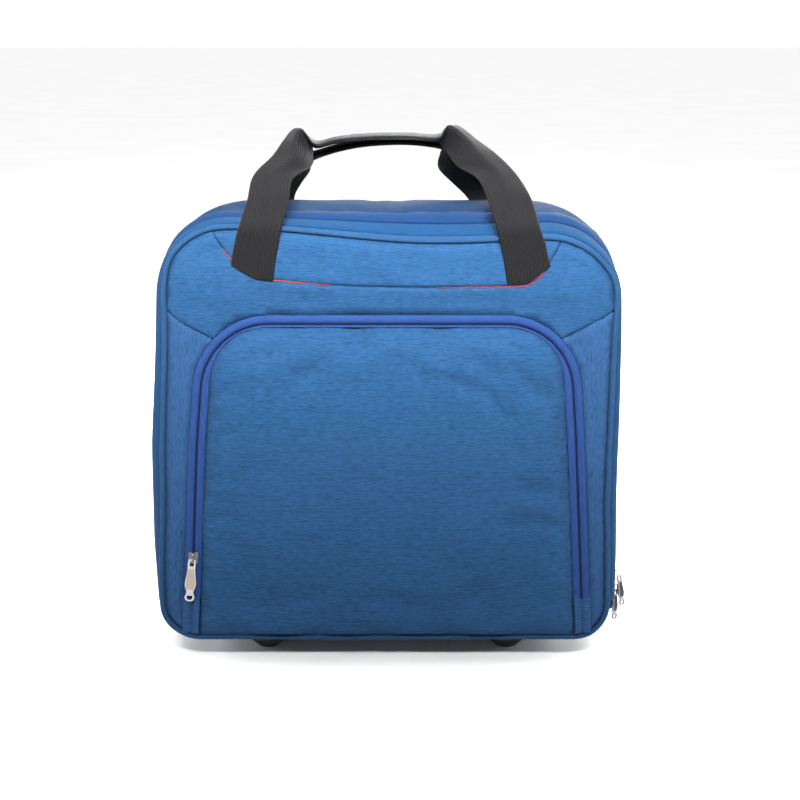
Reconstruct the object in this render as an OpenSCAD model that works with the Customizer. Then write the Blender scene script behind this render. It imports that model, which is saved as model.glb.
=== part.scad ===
// Rolling laptop case: soft wheeled case with a front cover that opens on a zipper, an organiser
// pocket, two webbing carry handles, a two-stage telescopic handle, two wheels and two front feet.
// X is to the right, Y to the back, Z up. The origin is on the floor, at the middle of the case.

/* [Case] */
// Width of the case at the zipper, the widest line
case_w = 420; // [380:5:460]
// Height of the case outline, from its underside to its top
case_h = 388; // [350:2:410]
// Height of the case outline above the floor
base_z = 19; // [16:1:24]
// Radius of the two upper corners
top_r = 68; // [50:1:80]
// Radius of the two lower corners
bottom_r = 38; // [32:1:44]
// Depth of the case, between its two piping rings
case_d = 184.5; // [170:0.5:200]

/* [Soft goods] */
// Thickness of the padded gusset fabric
gusset_t = 3; // [2:0.5:4]
// Thickness of the zipper tape
tape_t = 1.2; // [0.8:0.1:1.4]
// Thickness of the sewn outer front panels
panel_t = 2; // [1.5:0.1:2.4]
// Radius of the piping cord
piping_r = 2.5; // [2:0.1:3]
// Depth that the front pocket stands in front of the cover
pocket_d = 15; // [10:1:18]
// Width of the carry webbing
webbing_w = 38; // [30:1:40]
// Thickness of the carry webbing
webbing_t = 2.4; // [1.5:0.1:3]

/* [Rolling gear] */
// Radius of a wheel
wheel_r = 22; // [18:1:24]
// Width of a wheel
wheel_w = 18; // [14:1:20]
// Distance of each wheel's middle from the middle of the case
wheel_x = 158; // [140:1:158]
// Radius of a wheel's axle
axle_r = 3; // [2.5:0.1:3.5]
// Distance of each telescopic tube from the middle of the case
tube_x = 62; // [50:1:62]
// Distance of each front foot from the middle of the case
foot_x = 113; // [90:1:125]

/* [Hidden] */

// Colours.
cloth = [0.09, 0.29, 0.58];
tape_blue = [0.12, 0.25, 0.66];
webbing_black = [0.07, 0.07, 0.08];
plastic_black = [0.05, 0.05, 0.06];
metal_grey = [0.75, 0.74, 0.72];
lining_grey = [0.25, 0.26, 0.28];

// Outline of the case, seen from the front.
half_w = case_w / 2;
top_z = base_z + case_h;
corner_steps = 10;
function arc(cx, cz, r, a0, a1, n = corner_steps) =
    [for (i = [0:n]) let (a = a0 + (a1 - a0) * i / n) [cx + r * cos(a), cz + r * sin(a)]];
function outline(inset) = concat(
    arc(half_w - top_r, top_z - top_r, top_r - inset, 0, 90),
    arc(top_r - half_w, top_z - top_r, top_r - inset, 90, 180),
    arc(bottom_r - half_w, base_z + bottom_r, bottom_r - inset, 180, 270),
    arc(half_w - bottom_r, base_z + bottom_r, bottom_r - inset, 270, 360));

// Layers, measured inwards from the outline.
coil_out = 0;
tape_out = 2.2;
cloth_out = tape_out + tape_t;
cloth_in = cloth_out + gusset_t;
piping_in = cloth_out + piping_r;
panel_in = piping_in + piping_r + 0.3;
wire_r = 1.2;
wire_in = cloth_in + wire_r + 0.2;

// Stations along the depth.
rear_y = case_d / 2 - 1.75;
front_y = rear_y - case_d;
zip_y = front_y + 22;
slit = 0.8;
coil_w = 2.4;
tape_w = 16;
tape_hem = 5;
hinge_z = base_z + piping_in;
zip_end_z = base_z + bottom_r;
seam_gap = 0.3;
rear_cloth_y = rear_y - piping_r;
front_cloth_y = front_y + piping_r;
back_panel_t = 4;
back_face_y = rear_cloth_y + back_panel_t;
back_board_t = 3;
board_y1 = front_y + 2.2;
cover_face_y = front_y - panel_t;

// A solid between two depths whose outline is a list of [x, z] points.
module prism_y(points, y0, y1) {
    translate([0, y1, 0]) rotate([90, 0, 0]) linear_extrude(y1 - y0) polygon(points);
}

module slab(y0, y1, inset) prism_y(outline(inset), y0, y1);

module band(y0, y1, outer, inner) {
    difference() {
        slab(y0, y1, outer);
        slab(y0 - 1, y1 + 1, inner);
    }
}

// Keeps what lies between two heights.
module keep_z(z0, z1) {
    intersection() {
        translate([-400, -400, z0]) cube([800, 800, z1 - z0]);
        children();
    }
}

// A round cord or wire that follows the outline at one depth.
module ring_cord(y, inset, r) {
    rt = top_r - inset;
    rb = bottom_r - inset;
    side_x = half_w - inset;
    translate([0, y, 0]) {
        for (s = [-1, 1]) {
            translate([s * side_x, 0, base_z + bottom_r])
                cylinder(r = r, h = case_h - top_r - bottom_r, $fn = 32);
            translate([s * (half_w - top_r), 0, top_z - top_r]) rotate([90, 0, 0])
                rotate([0, 0, s > 0 ? 0 : 90])
                    rotate_extrude(angle = 90, $fn = 48) translate([rt, 0]) circle(r = r, $fn = 32);
            translate([s * (half_w - bottom_r), 0, base_z + bottom_r]) rotate([90, 0, 0])
                rotate([0, 0, s > 0 ? 270 : 180])
                    rotate_extrude(angle = 90, $fn = 48) translate([rb, 0]) circle(r = r, $fn = 32);
        }
        translate([top_r - half_w, 0, top_z - inset]) rotate([0, 90, 0])
            cylinder(r = r, h = case_w - 2 * top_r, $fn = 32);
        translate([bottom_r - half_w, 0, base_z + inset]) rotate([0, 90, 0])
            cylinder(r = r, h = case_w - 2 * bottom_r, $fn = 32);
    }
}

// Wheel housings, and the room that they take out of the soft parts.
housing_wall = 3.5;
housing_x0 = wheel_x - wheel_w / 2 - 2.5 - housing_wall;
housing_x1 = wheel_x + wheel_w / 2 + 2.5 + housing_wall;
housing_y0 = 54;
housing_y1 = 98;
housing_z1 = 54;
axle_y = 84;
boss_r = 12;
axle_over = 1.5;

module housing_room() {
    room_gap = 0.4;
    x0 = housing_x0 - axle_over - room_gap;
    x1 = housing_x1 + axle_over + room_gap;
    for (s = [-1, 1])
        translate([s > 0 ? x0 : -x1, housing_y0 - room_gap, -1])
            cube([x1 - x0, 80, housing_z1 + 1 + room_gap]);
}

module without_housings() {
    difference() {
        children();
        housing_room();
    }
}

// ---- Case body ----

module bottom_panel() {
    color(cloth) without_housings() keep_z(0, zip_end_z - seam_gap)
        band(front_cloth_y + 0.7, rear_cloth_y, cloth_out, cloth_in);
}

module main_gusset() {
    color(cloth) keep_z(zip_end_z - seam_gap, 600)
        band(zip_y + slit + tape_hem, rear_cloth_y, cloth_out, cloth_in);
}

module back_panel() {
    color(cloth) without_housings() slab(rear_cloth_y, back_face_y, panel_in);
}

module back_board() {
    color(lining_grey) without_housings()
        slab(rear_cloth_y - back_board_t - 0.5, rear_cloth_y - 0.5, panel_in);
}

base_board_t = 2;
base_board_z = base_z + cloth_in + 0.3;
module base_board() {
    color(lining_grey) without_housings()
        translate([bottom_r - half_w, front_cloth_y + 6.5, base_board_z])
            cube([case_w - 2 * bottom_r, 164, base_board_t]);
}

module rear_piping() color(cloth) without_housings() ring_cord(rear_y, piping_in, piping_r);

module rear_frame_wire() {
    color(metal_grey) without_housings() ring_cord(rear_cloth_y - 7, wire_in, wire_r);
}

module zip_tape_rear() {
    color(tape_blue) keep_z(zip_end_z, 600)
        band(zip_y + slit, zip_y + slit + tape_w, tape_out, tape_out + tape_t);
}

module zip_coil_rear() {
    color(tape_blue) keep_z(zip_end_z, 600)
        band(zip_y + slit, zip_y + slit + coil_w, coil_out, tape_out);
}

module zip_end_tabs() {
    color(cloth) keep_z(zip_end_z - 13, zip_end_z - seam_gap)
        band(zip_y - 7, zip_y + 7, cloth_out - 1.8, cloth_out);
}

// Padded panel that parts off the laptop compartment, and its strap.
divider_t = 5;
divider_y = 60;
divider_top_z = 300;
divider_foot = housing_x0 - 5;
module laptop_divider() {
    color(lining_grey)
        prism_y([[-divider_foot, base_board_z + 2.2], [divider_foot, base_board_z + 2.2],
            [divider_foot, housing_z1 + 2], [178, housing_z1 + 2], [178, divider_top_z - 20],
            [158, divider_top_z], [-158, divider_top_z], [-178, divider_top_z - 20],
            [-178, housing_z1 + 2], [-divider_foot, housing_z1 + 2]],
            divider_y, divider_y + divider_t);
}

strap_w = 25;
strap_t = 1.5;
module divider_strap() {
    y_back = rear_cloth_y - back_board_t - 0.5;
    z = divider_top_z + 0.5;
    color(webbing_black) translate([-strap_w / 2, 0, 0]) {
        translate([0, y_back - strap_t, z]) cube([strap_w, strap_t, 40]);
        translate([0, divider_y - strap_t, z]) cube([strap_w, y_back - divider_y + strap_t, strap_t]);
        translate([0, divider_y - strap_t, z - 40]) cube([strap_w, strap_t, 40]);
    }
}

// ---- Telescopic handle ----

trolley_gap = 0.3;
trolley_y = back_face_y + 9.5;
tube_wall = 1;
outer_tube = [18, 13, 3];
middle_tube = [15.4, 10.4, 2];
inner_tube = [12.8, 7.8, 1.2];
outer_z = [38, 372];
middle_z = [44, 376.6];
inner_z = [50, 380.5];
trolley_z = 30;
housing_half = 86;
grip_half = 79;
grip_top_z = 399;
grip_z = 377.5;

// Rectangle with round corners, from [width, depth, corner radius], grown by g.
function tube_outline(size, g = 0) =
    let (a = size[0] / 2 + g, b = size[1] / 2 + g, r = size[2] + g) concat(
        arc(a - r, b - r, r, 0, 90, 4), arc(r - a, b - r, r, 90, 180, 4),
        arc(r - a, r - b, r, 180, 270, 4), arc(a - r, r - b, r, 270, 360, 4));

module tube_column(size, g, z0, z1) {
    for (s = [-1, 1])
        translate([s * tube_x, trolley_y, z0]) linear_extrude(z1 - z0) polygon(tube_outline(size, g));
}

module tube_pair(size, z) {
    difference() {
        tube_column(size, 0, z[0], z[1]);
        tube_column(size, -tube_wall, z[0] - 1, z[1] + 1);
    }
}

module outer_tubes() color(metal_grey) tube_pair(outer_tube, outer_z);

module middle_tubes() color(metal_grey) tube_pair(middle_tube, middle_z);

module inner_tubes() color(metal_grey) tube_pair(inner_tube, inner_z);

// Plastic foot of each moving tube, which holds the lock pin and guides the tube.
module middle_plugs() {
    color(plastic_black) difference() {
        tube_column([15.6, 10.6, 2], 0, middle_z[0] - 5, middle_z[0]);
        for (s = [-1, 1]) translate([s * tube_x, trolley_y, 0]) cylinder(r = 3, h = 100, $fn = 32);
    }
}

module trolley_base() {
    color(plastic_black) difference() {
        translate([-housing_half + 4, back_face_y + trolley_gap, trolley_z])
            cube([2 * housing_half - 8, 17, 52 - trolley_z]);
        tube_column(outer_tube, 0, outer_z[0], 60);
        for (s = [-1, 1]) translate([s * 36, 60, 40]) rotate([-90, 0, 0])
            cylinder(r = 2.1, h = 60, $fn = 32);
    }
}

// Open cup at the top of the back, with the grip down inside it.
module trolley_housing() {
    y0 = back_face_y + trolley_gap;
    color(plastic_black) difference() {
        translate([-housing_half, y0, 360]) cube([2 * housing_half, 20, 39]);
        translate([-grip_half - 2, y0 + 2, 377]) cube([2 * grip_half + 4, 15.6, 40]);
        translate([-40, y0 + 10, 386]) cube([80, 20, 20]);
        tube_column(outer_tube, 0, 350, outer_z[1]);
        tube_column(middle_tube, 0.3, 350, 390);
        for (s = [-1, 1]) translate([s * 36, 60, 368]) rotate([-90, 0, 0])
            cylinder(r = 2.1, h = 60, $fn = 32);
    }
}

// Fabric sleeve over the tubes.
module trolley_cover() {
    y0 = back_face_y + trolley_gap;
    wall = 2;
    color(cloth) difference() {
        translate([-housing_half - wall, y0, trolley_z - wall])
            cube([2 * (housing_half + wall), 19.5, 359.5 - trolley_z + wall]);
        translate([-housing_half, y0 - 1, trolley_z]) cube([2 * housing_half, 18.5, 400]);
    }
}

grip_y0 = trolley_y - 7;
grip_d = 14;
module trolley_grip() {
    h = grip_top_z - grip_z;
    r = 4;
    profile = concat(
        arc(grip_y0 + grip_d - r, grip_top_z - r, r, 0, 90, 6),
        arc(grip_y0 + r, grip_top_z - r, r, 90, 180, 6),
        arc(grip_y0 + r, grip_z + r, r, 180, 270, 6),
        arc(grip_y0 + grip_d - r, grip_z + r, r, 270, 360, 6));
    color(plastic_black) difference() {
        translate([-grip_half, 0, 0]) rotate([90, 0, 90]) linear_extrude(2 * grip_half)
            polygon(profile);
        translate([-tube_x - 5, trolley_y - 3.4, inner_z[1]])
            cube([2 * tube_x + 10, 6.8, 11.5]);
        tube_column(inner_tube, 0, grip_z - 1, inner_z[1]);
        translate([-14.3, trolley_y - 3.8, grip_top_z - 15]) cube([28.6, 7.6, 20]);
    }
}

// Push button with its bar and the two rods that pull the lock pins.
module grip_button() {
    color(plastic_black) {
        translate([-14, trolley_y - 3.5, 388.5]) cube([28, 7, 13]);
        translate([-tube_x - 2, trolley_y - 2, 386]) cube([2 * tube_x + 4, 4, 3]);
        for (s = [-1, 1]) translate([s * tube_x, trolley_y, 56]) cylinder(r = 2, h = 331, $fn = 32);
    }
}

// Screws that hold the handle gear, the wheel housings and the feet.
foot_y = -50;
screw_r = 2;
module case_screws() {
    color(metal_grey) {
        for (s = [-1, 1], z = [40, 368])
            translate([s * 36, back_face_y - 8, z]) rotate([-90, 0, 0]) {
                cylinder(r = screw_r, h = 8 + trolley_gap + 12, $fn = 32);
                translate([0, 0, -1.5]) cylinder(r = 4, h = 1.5, $fn = 32);
            }
        for (s = [-1, 1])
            translate([s * foot_x, foot_y, 6]) {
                cylinder(r = screw_r, h = base_board_z + base_board_t - 6, $fn = 32);
                translate([0, 0, base_board_z + base_board_t - 6]) cylinder(r = 4, h = 1.5, $fn = 32);
            }
    }
}

module screw_holes() {
    for (s = [-1, 1]) {
        for (z = [40, 368])
            translate([s * 36, 40, z]) rotate([-90, 0, 0]) cylinder(r = screw_r + 0.1, h = 80, $fn = 32);
        translate([s * foot_x, foot_y, -1]) cylinder(r = screw_r + 0.1, h = 60, $fn = 32);
    }
}

module screw_head_room() {
    for (s = [-1, 1], z = [40, 368])
        translate([s * 36, back_face_y - 10, z]) rotate([-90, 0, 0]) cylinder(r = 4.3, h = 3, $fn = 32);
}

// ---- Wheels and feet ----

module wheel_housing(s) {
    w = housing_x1 - housing_x0;
    color(plastic_black) difference() {
        translate([s > 0 ? housing_x0 : -housing_x1, 0, 0]) rotate([90, 0, 90])
            linear_extrude(w) union() {
                translate([housing_y0, wheel_r]) square([housing_y1 - housing_y0, housing_z1 - wheel_r]);
                translate([axle_y, wheel_r]) circle(r = boss_r, $fn = 64);
            }
        translate([s * wheel_x - wheel_w / 2 - 2.5, housing_y0 + 3, -1])
            cube([wheel_w + 5, 80, housing_z1 - 2]);
        translate([s * wheel_x - 30, axle_y, wheel_r]) rotate([0, 90, 0])
            cylinder(r = axle_r + 0.03, h = 60, $fn = 48);
    }
}

module axle(s) {
    span = housing_x1 - housing_x0;
    x0 = s > 0 ? housing_x0 : -housing_x1;
    color(metal_grey) translate([x0, axle_y, wheel_r]) rotate([0, 90, 0]) {
        translate([0, 0, -axle_over]) cylinder(r = axle_r, h = span + 2 * axle_over, $fn = 48);
        translate([0, 0, s > 0 ? span : -axle_over]) cylinder(r = axle_r + 2, h = axle_over, $fn = 48);
    }
}

hub_r = 15;
module wheel_hub(s) {
    color(plastic_black) translate([s * wheel_x - wheel_w / 2, axle_y, wheel_r]) rotate([0, 90, 0])
        difference() {
            union() {
                cylinder(r = 6, h = wheel_w, $fn = 48);
                translate([0, 0, 1.5]) cylinder(r = hub_r, h = wheel_w - 3, $fn = 64);
            }
            translate([0, 0, -1]) cylinder(r = axle_r + 0.05, h = wheel_w + 2, $fn = 48);
        }
}

module wheel_tyre(s) {
    half = wheel_w / 2;
    shoulder = 3;
    color(plastic_black) translate([s * wheel_x, axle_y, wheel_r]) rotate([0, 90, 0])
        rotate_extrude($fn = 96)
            polygon(concat([[hub_r, half - 1], [hub_r, 1 - half], [wheel_r - shoulder, 1 - half]],
                [for (i = [0:4]) let (t = -half + shoulder + i * (wheel_w - 2 * shoulder) / 4)
                    [wheel_r - 0.6 * pow(t / (half - shoulder), 2) * (abs(t) > 0.1 ? 1 : 0), t]],
                [[wheel_r - shoulder, half - 1]]));
}

foot_top_r = 24;
foot_sole_r = 10.5;
foot_cone_h = 13;
module front_foot(s) {
    h = base_z + cloth_out;
    color(plastic_black) translate([s * foot_x, foot_y, 0]) difference() {
        union() {
            cylinder(r1 = foot_sole_r, r2 = foot_top_r, h = foot_cone_h, $fn = 64);
            translate([0, 0, foot_cone_h]) cylinder(r = foot_top_r, h = h - foot_cone_h, $fn = 64);
        }
        translate([0, 0, 5.9]) cylinder(r = screw_r + 0.05, h = 40, $fn = 32);
    }
}

// ---- Front cover ----

module front_board() color(lining_grey) slab(front_y, board_y1, panel_in);

// Sewing lines of the front, as [x, z] outlines.
yoke_x = 116;
yoke_bottom_z = 354;
yoke_r = 24;
function yoke_outline(g = 0) = concat(
    [[yoke_x + 52 + g, top_z + 20], [yoke_x + 26 + g, yoke_bottom_z + yoke_r - 3]],
    arc(yoke_x, yoke_bottom_z + yoke_r, yoke_r + g, 330, 270, 6),
    arc(-yoke_x, yoke_bottom_z + yoke_r, yoke_r + g, 270, 210, 6),
    [[-yoke_x - 26 - g, yoke_bottom_z + yoke_r - 3], [-yoke_x - 52 - g, top_z + 20]]);

pocket_bottom_half = 188;
pocket_top_half = 174;
pocket_top_z = 327;
pocket_r = 68;
pocket_bottom_z = hinge_z + piping_r + 3;
pocket_slope = (pocket_bottom_half - pocket_top_half) / (pocket_top_z - pocket_r - pocket_bottom_z);
function pocket_outline(inset, floor_inset = 0) = concat(
    [[pocket_bottom_half - inset - floor_inset * pocket_slope, pocket_bottom_z + floor_inset]],
    arc(pocket_top_half - pocket_r, pocket_top_z - pocket_r, pocket_r - inset, 0, 90, 8),
    arc(pocket_r - pocket_top_half, pocket_top_z - pocket_r, pocket_r - inset, 90, 180, 8),
    [[inset - pocket_bottom_half + floor_inset * pocket_slope, pocket_bottom_z + floor_inset]]);

seam_outer_z = 336;
seam_inner_z = 302;
seam_inner_x = 150;

// Half plane outside a diagonal seam, on one side of the case.
function below_seam(s) = [[s * (half_w + 20), seam_outer_z + 9], [s * seam_inner_x, seam_inner_z],
    [s * seam_inner_x, 0], [s * (half_w + 20), 0]];

module face_piece() {
    intersection() {
        slab(cover_face_y, front_y, panel_in);
        children();
    }
}

module yoke_panel() color(cloth) face_piece() prism_y(yoke_outline(-0.7), cover_face_y - 1, front_y + 1);

module yoke_trim() {
    color([0.85, 0.25, 0.25]) keep_z(yoke_bottom_z - 6, 392) face_piece() difference() {
        prism_y(yoke_outline(0.5), cover_face_y - 1, front_y + 1);
        prism_y(yoke_outline(-0.6), cover_face_y - 2, front_y + 2);
    }
}

module upper_front_panel() {
    color(cloth) face_piece() difference() {
        translate([-half_w, cover_face_y - 1, seam_inner_z - 10]) cube([case_w, 6, 200]);
        prism_y(yoke_outline(0.6), cover_face_y - 2, front_y + 2);
        prism_y(pocket_outline(-0.2), cover_face_y - 2, front_y + 2);
        for (s = [-1, 1]) prism_y(below_seam(s), cover_face_y - 2, front_y + 2);
    }
}

module side_panel(s) {
    color(cloth) face_piece() difference() {
        translate([0, 0, -0.2]) prism_y(below_seam(s), cover_face_y - 1, front_y + 1);
        prism_y(pocket_outline(-0.2), cover_face_y - 2, front_y + 2);
        prism_y([[-pocket_bottom_half, 0], [pocket_bottom_half, 0], [pocket_bottom_half, pocket_bottom_z + 1],
            [-pocket_bottom_half, pocket_bottom_z + 1]], cover_face_y - 2, front_y + 2);
    }
}

module front_piping() color(cloth) ring_cord(front_y, piping_in, piping_r);

module front_frame_wire() color(metal_grey) ring_cord(front_cloth_y + 3.5, wire_in, wire_r);

module front_gusset() {
    color(cloth) keep_z(zip_end_z, 600)
        band(front_cloth_y, zip_y - slit - tape_hem, cloth_out, cloth_in);
}

module zip_tape_front() {
    color(tape_blue) keep_z(zip_end_z, 600)
        band(zip_y - slit - tape_w, zip_y - slit, tape_out, tape_out + tape_t);
}

module zip_coil_front() {
    color(tape_blue) keep_z(zip_end_z, 600)
        band(zip_y - slit - coil_w, zip_y - slit, coil_out, tape_out);
}

// ---- Front pocket ----

pocket_zip_end_z = 64;
pocket_slit_in = 8;
pocket_tape_y = front_y - panel_t;

// Strip that follows the pocket's zipper, between two insets and two depths.
module pocket_strip(inset0, inset1, y0, y1, z0 = pocket_zip_end_z) {
    keep_z(z0, 600) difference() {
        prism_y(pocket_outline(inset0), y0, y1);
        prism_y(pocket_outline(inset1, -20), y0 - 1, y1 + 1);
    }
}

module pocket_tape_outer() {
    color(tape_blue) pocket_strip(0, pocket_slit_in - slit, pocket_tape_y, pocket_tape_y + tape_t);
}

module pocket_coil_outer() {
    color(tape_blue) pocket_strip(pocket_slit_in - slit - 1.6, pocket_slit_in - slit,
        pocket_tape_y - 2, pocket_tape_y);
}

module pocket_tape_inner() {
    color(tape_blue) pocket_strip(pocket_slit_in + slit, 16, pocket_tape_y, pocket_tape_y + tape_t);
}

module pocket_coil_inner() {
    color(tape_blue) pocket_strip(pocket_slit_in + slit, pocket_slit_in + slit + 1.6,
        pocket_tape_y - 2, pocket_tape_y);
}

pocket_wall_in = 14.5;
pocket_face_y = cover_face_y - pocket_d;
module pocket_gusset() {
    color(cloth) difference() {
        prism_y(pocket_outline(pocket_wall_in), pocket_face_y + 2.5, pocket_tape_y);
        prism_y(pocket_outline(pocket_wall_in + 2.5, 2.5), pocket_face_y, pocket_tape_y + 1);
    }
}

module pocket_panel() {
    color(cloth) prism_y(pocket_outline(pocket_wall_in), pocket_face_y, pocket_face_y + 2.5);
}

// ---- Carry handles ----

// Flat strip of webbing between stations [x, y, z, width], on both sides of the case.
module webbing(stations, t) {
    for (s = [-1, 1], i = [0:len(stations) - 2])
        hull() for (p = [stations[i], stations[i + 1]])
            translate([s * p[0] - p[3] / 2, p[1] - t / 2, p[2] - t / 2]) cube([p[3], t, t]);
}

anchor_z = [356, 371];
front_anchor_x = 119;
rear_anchor_x = 109;
front_strap_y = cover_face_y - webbing_t / 2;
rear_strap_y = back_face_y + trolley_gap + webbing_t / 2;
front_route = [[front_anchor_x, front_strap_y - 0.6, 373, webbing_w],
    [109, front_strap_y - 1.5, 405, webbing_w], [103, -48, 442, webbing_w], [78, -14, 474, 18]];
rear_route = [[rear_anchor_x, rear_strap_y + 0.4, 373, webbing_w],
    [107, rear_strap_y + 1.5, 405, webbing_w], [98, 52, 436, webbing_w], [76, 18, 464, 18]];

module handle_anchors(x, y) {
    color(webbing_black) for (s = [-1, 1])
        translate([s * x - webbing_w / 2, y - webbing_t / 2, anchor_z[0]])
            cube([webbing_w, webbing_t, anchor_z[1] - anchor_z[0]]);
}

// A grip is the webbing folded in half.
grip_fold_w = webbing_w / 2;
grip_half_l = 80;
grip_fold_h = 7;
module folded_grip(y0, z) {
    translate([-grip_half_l, y0, z - grip_fold_h / 2]) cube([2 * grip_half_l, grip_fold_w, grip_fold_h]);
}

module front_handle() {
    color(webbing_black) {
        webbing(front_route, webbing_t);
        folded_grip(-21, 475.5);
    }
}

module rear_handle() {
    color(webbing_black) {
        webbing(rear_route, webbing_t);
        folded_grip(4, 465.5);
    }
}

// ---- Zipper sliders ----
// Local frame: +X away from the tape, Y across the tape, Z along it, origin on the tape's face.
coil_h = 2;
slider_gap = 0.3;
slider_l = 10;
slider_half = 4.3;
plate_x0 = coil_h + slider_gap;
plate_x1 = plate_x0 + 1.5;
arch_h = 2.9;
bar_x = plate_x1 + 1.1;
bar_z = -1;
bar_r = 0.6;
keeper_t = 0.5;
keeper_x = -tape_t - 0.2 - keeper_t;

module slider_body() {
    color(metal_grey) {
        translate([plate_x0, -slider_half, -slider_l / 2])
            cube([plate_x1 - plate_x0, 2 * slider_half, slider_l]);
        translate([slider_gap, 3.2, -slider_l / 2]) cube([plate_x1 - slider_gap, slider_half - 3.2, slider_l]);
        translate([keeper_x, -0.5, -slider_l / 2]) cube([keeper_t, slider_half + 0.5, slider_l]);
        translate([keeper_x, -0.5, 1.5]) cube([plate_x1 - keeper_x, 1, 3]);
        difference() {
            translate([plate_x1, -1, -4.4]) cube([arch_h, 2, 8.8]);
            translate([plate_x1 - 1, -2, -3.4]) cube([arch_h + 0.2, 4, 6.8]);
        }
    }
}

// Pull tab of length l, hanging down from its bar. Its face stands off by a step further out.
pull_t = 1.2;
pull_half = 5;
pull_leg = 8;
module slider_pull(l, step = 0) {
    half_t = pull_t / 2;
    ring_z = pull_half - l;
    color(metal_grey) translate([bar_x, 0, bar_z]) {
        translate([0, -3.6, 0]) rotate([-90, 0, 0]) cylinder(r = bar_r, h = 7.2, $fn = 32);
        for (s = [-1, 1])
            translate([0, s > 0 ? 3.6 : -1.7, 0]) rotate([90, 0, 0]) linear_extrude(1.9)
                polygon([[-half_t, 0], [-half_t, -2.4], [step - half_t, -6], [step - half_t, -pull_leg],
                    [step + half_t, -pull_leg], [step + half_t, -5.6], [half_t, -2], [half_t, 0]]);
        difference() {
            translate([step - half_t, 0, 0]) rotate([90, 0, 90]) linear_extrude(pull_t)
                polygon(concat([[3.6, -pull_leg], [-3.6, -pull_leg], [-pull_half, 7.5 + ring_z],
                    [-4.2, 5.5 + ring_z], [-pull_half, 3.5 + ring_z]],
                    arc(0, ring_z, pull_half, 180, 360), [[pull_half, 3.5 + ring_z],
                    [4.2, 5.5 + ring_z], [pull_half, 7.5 + ring_z]]));
            translate([step - 2, 0, ring_z]) rotate([0, 90, 0]) cylinder(r = 2.4, h = 4, $fn = 32);
        }
    }
}

main_pull_l = 30;
main_slider_x = half_w - tape_out;
upper_slider_z = 78;
lower_slider_z = 64;
upper_pull_step = 2.8;
module at_main(z) translate([main_slider_x, zip_y, z]) children();

pocket_pull_l = 41;
pocket_slider_z = 104;
pocket_side_lean = atan(pocket_slope);
pocket_slider_x = -(pocket_bottom_half - pocket_slit_in - (pocket_slider_z - pocket_bottom_z) * pocket_slope);
module at_pocket() {
    translate([pocket_slider_x, pocket_tape_y, pocket_slider_z])
        rotate([0, pocket_side_lean, 0]) rotate([0, 0, -90]) children();
}

difference() { bottom_panel(); screw_holes(); }
main_gusset();
difference() { back_panel(); screw_holes(); }
difference() { back_board(); screw_holes(); screw_head_room(); }
difference() { base_board(); screw_holes(); }
rear_piping();
rear_frame_wire();
zip_tape_rear();
zip_coil_rear();
zip_end_tabs();
laptop_divider();
divider_strap();
trolley_base();
trolley_housing();
trolley_cover();
outer_tubes();
case_screws();
wheel_housing(-1);  // wheel_housing_left
wheel_housing(1);  // wheel_housing_right
axle(-1);  // axle_left
axle(1);  // axle_right
front_foot(-1);  // front_foot_left
front_foot(1);  // front_foot_right
handle_anchors(rear_anchor_x, rear_strap_y);  // rear_handle_anchors
front_board();
yoke_panel();
upper_front_panel();
side_panel(-1);  // side_panel_left
side_panel(1);  // side_panel_right
yoke_trim();
front_piping();
front_frame_wire();
front_gusset();
zip_tape_front();
zip_coil_front();
pocket_tape_outer();
pocket_coil_outer();
handle_anchors(front_anchor_x, front_strap_y);  // front_handle_anchors
pocket_panel();
pocket_gusset();
pocket_tape_inner();
pocket_coil_inner();
front_handle();
rear_handle();
middle_tubes();
middle_plugs();
inner_tubes();
trolley_grip();
grip_button();
wheel_tyre(-1);  // wheel_tyre_left
wheel_hub(-1);  // wheel_hub_left
wheel_tyre(1);  // wheel_tyre_right
wheel_hub(1);  // wheel_hub_right
at_pocket() slider_body();  // pocket_slider
at_pocket() slider_pull(pocket_pull_l);  // pocket_pull
at_main(upper_slider_z) slider_body();  // main_slider_upper
at_main(upper_slider_z) slider_pull(main_pull_l, upper_pull_step);  // main_pull_upper
at_main(lower_slider_z) slider_body();  // main_slider_lower
at_main(lower_slider_z) slider_pull(main_pull_l);  // main_pull_lower
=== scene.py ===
"""Rolling laptop case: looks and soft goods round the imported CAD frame.

Lengths are in millimetres until a mesh is made.
"""
import math

import bpy
import numpy as np
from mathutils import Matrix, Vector
from mathutils.geometry import delaunay_2d_cdt


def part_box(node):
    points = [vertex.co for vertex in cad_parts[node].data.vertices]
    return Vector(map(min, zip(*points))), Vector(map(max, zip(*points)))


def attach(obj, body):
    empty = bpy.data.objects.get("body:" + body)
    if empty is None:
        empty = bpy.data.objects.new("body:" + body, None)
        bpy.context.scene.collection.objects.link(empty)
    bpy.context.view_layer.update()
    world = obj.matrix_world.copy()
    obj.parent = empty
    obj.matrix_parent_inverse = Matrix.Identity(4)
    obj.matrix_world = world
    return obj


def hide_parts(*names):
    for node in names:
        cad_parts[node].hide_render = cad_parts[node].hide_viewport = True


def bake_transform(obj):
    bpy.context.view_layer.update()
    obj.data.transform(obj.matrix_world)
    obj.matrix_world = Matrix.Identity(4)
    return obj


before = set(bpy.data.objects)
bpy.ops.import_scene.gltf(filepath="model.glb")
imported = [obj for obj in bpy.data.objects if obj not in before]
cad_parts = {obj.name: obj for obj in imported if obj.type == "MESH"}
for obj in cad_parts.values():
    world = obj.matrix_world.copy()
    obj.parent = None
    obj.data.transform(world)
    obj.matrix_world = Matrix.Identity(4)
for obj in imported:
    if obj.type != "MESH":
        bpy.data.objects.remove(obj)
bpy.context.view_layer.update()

MM = 0.001
SCENE = bpy.context.scene


def add_object(name, data):
    obj = bpy.data.objects.new(name, data)
    SCENE.collection.objects.link(obj)
    return obj


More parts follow.
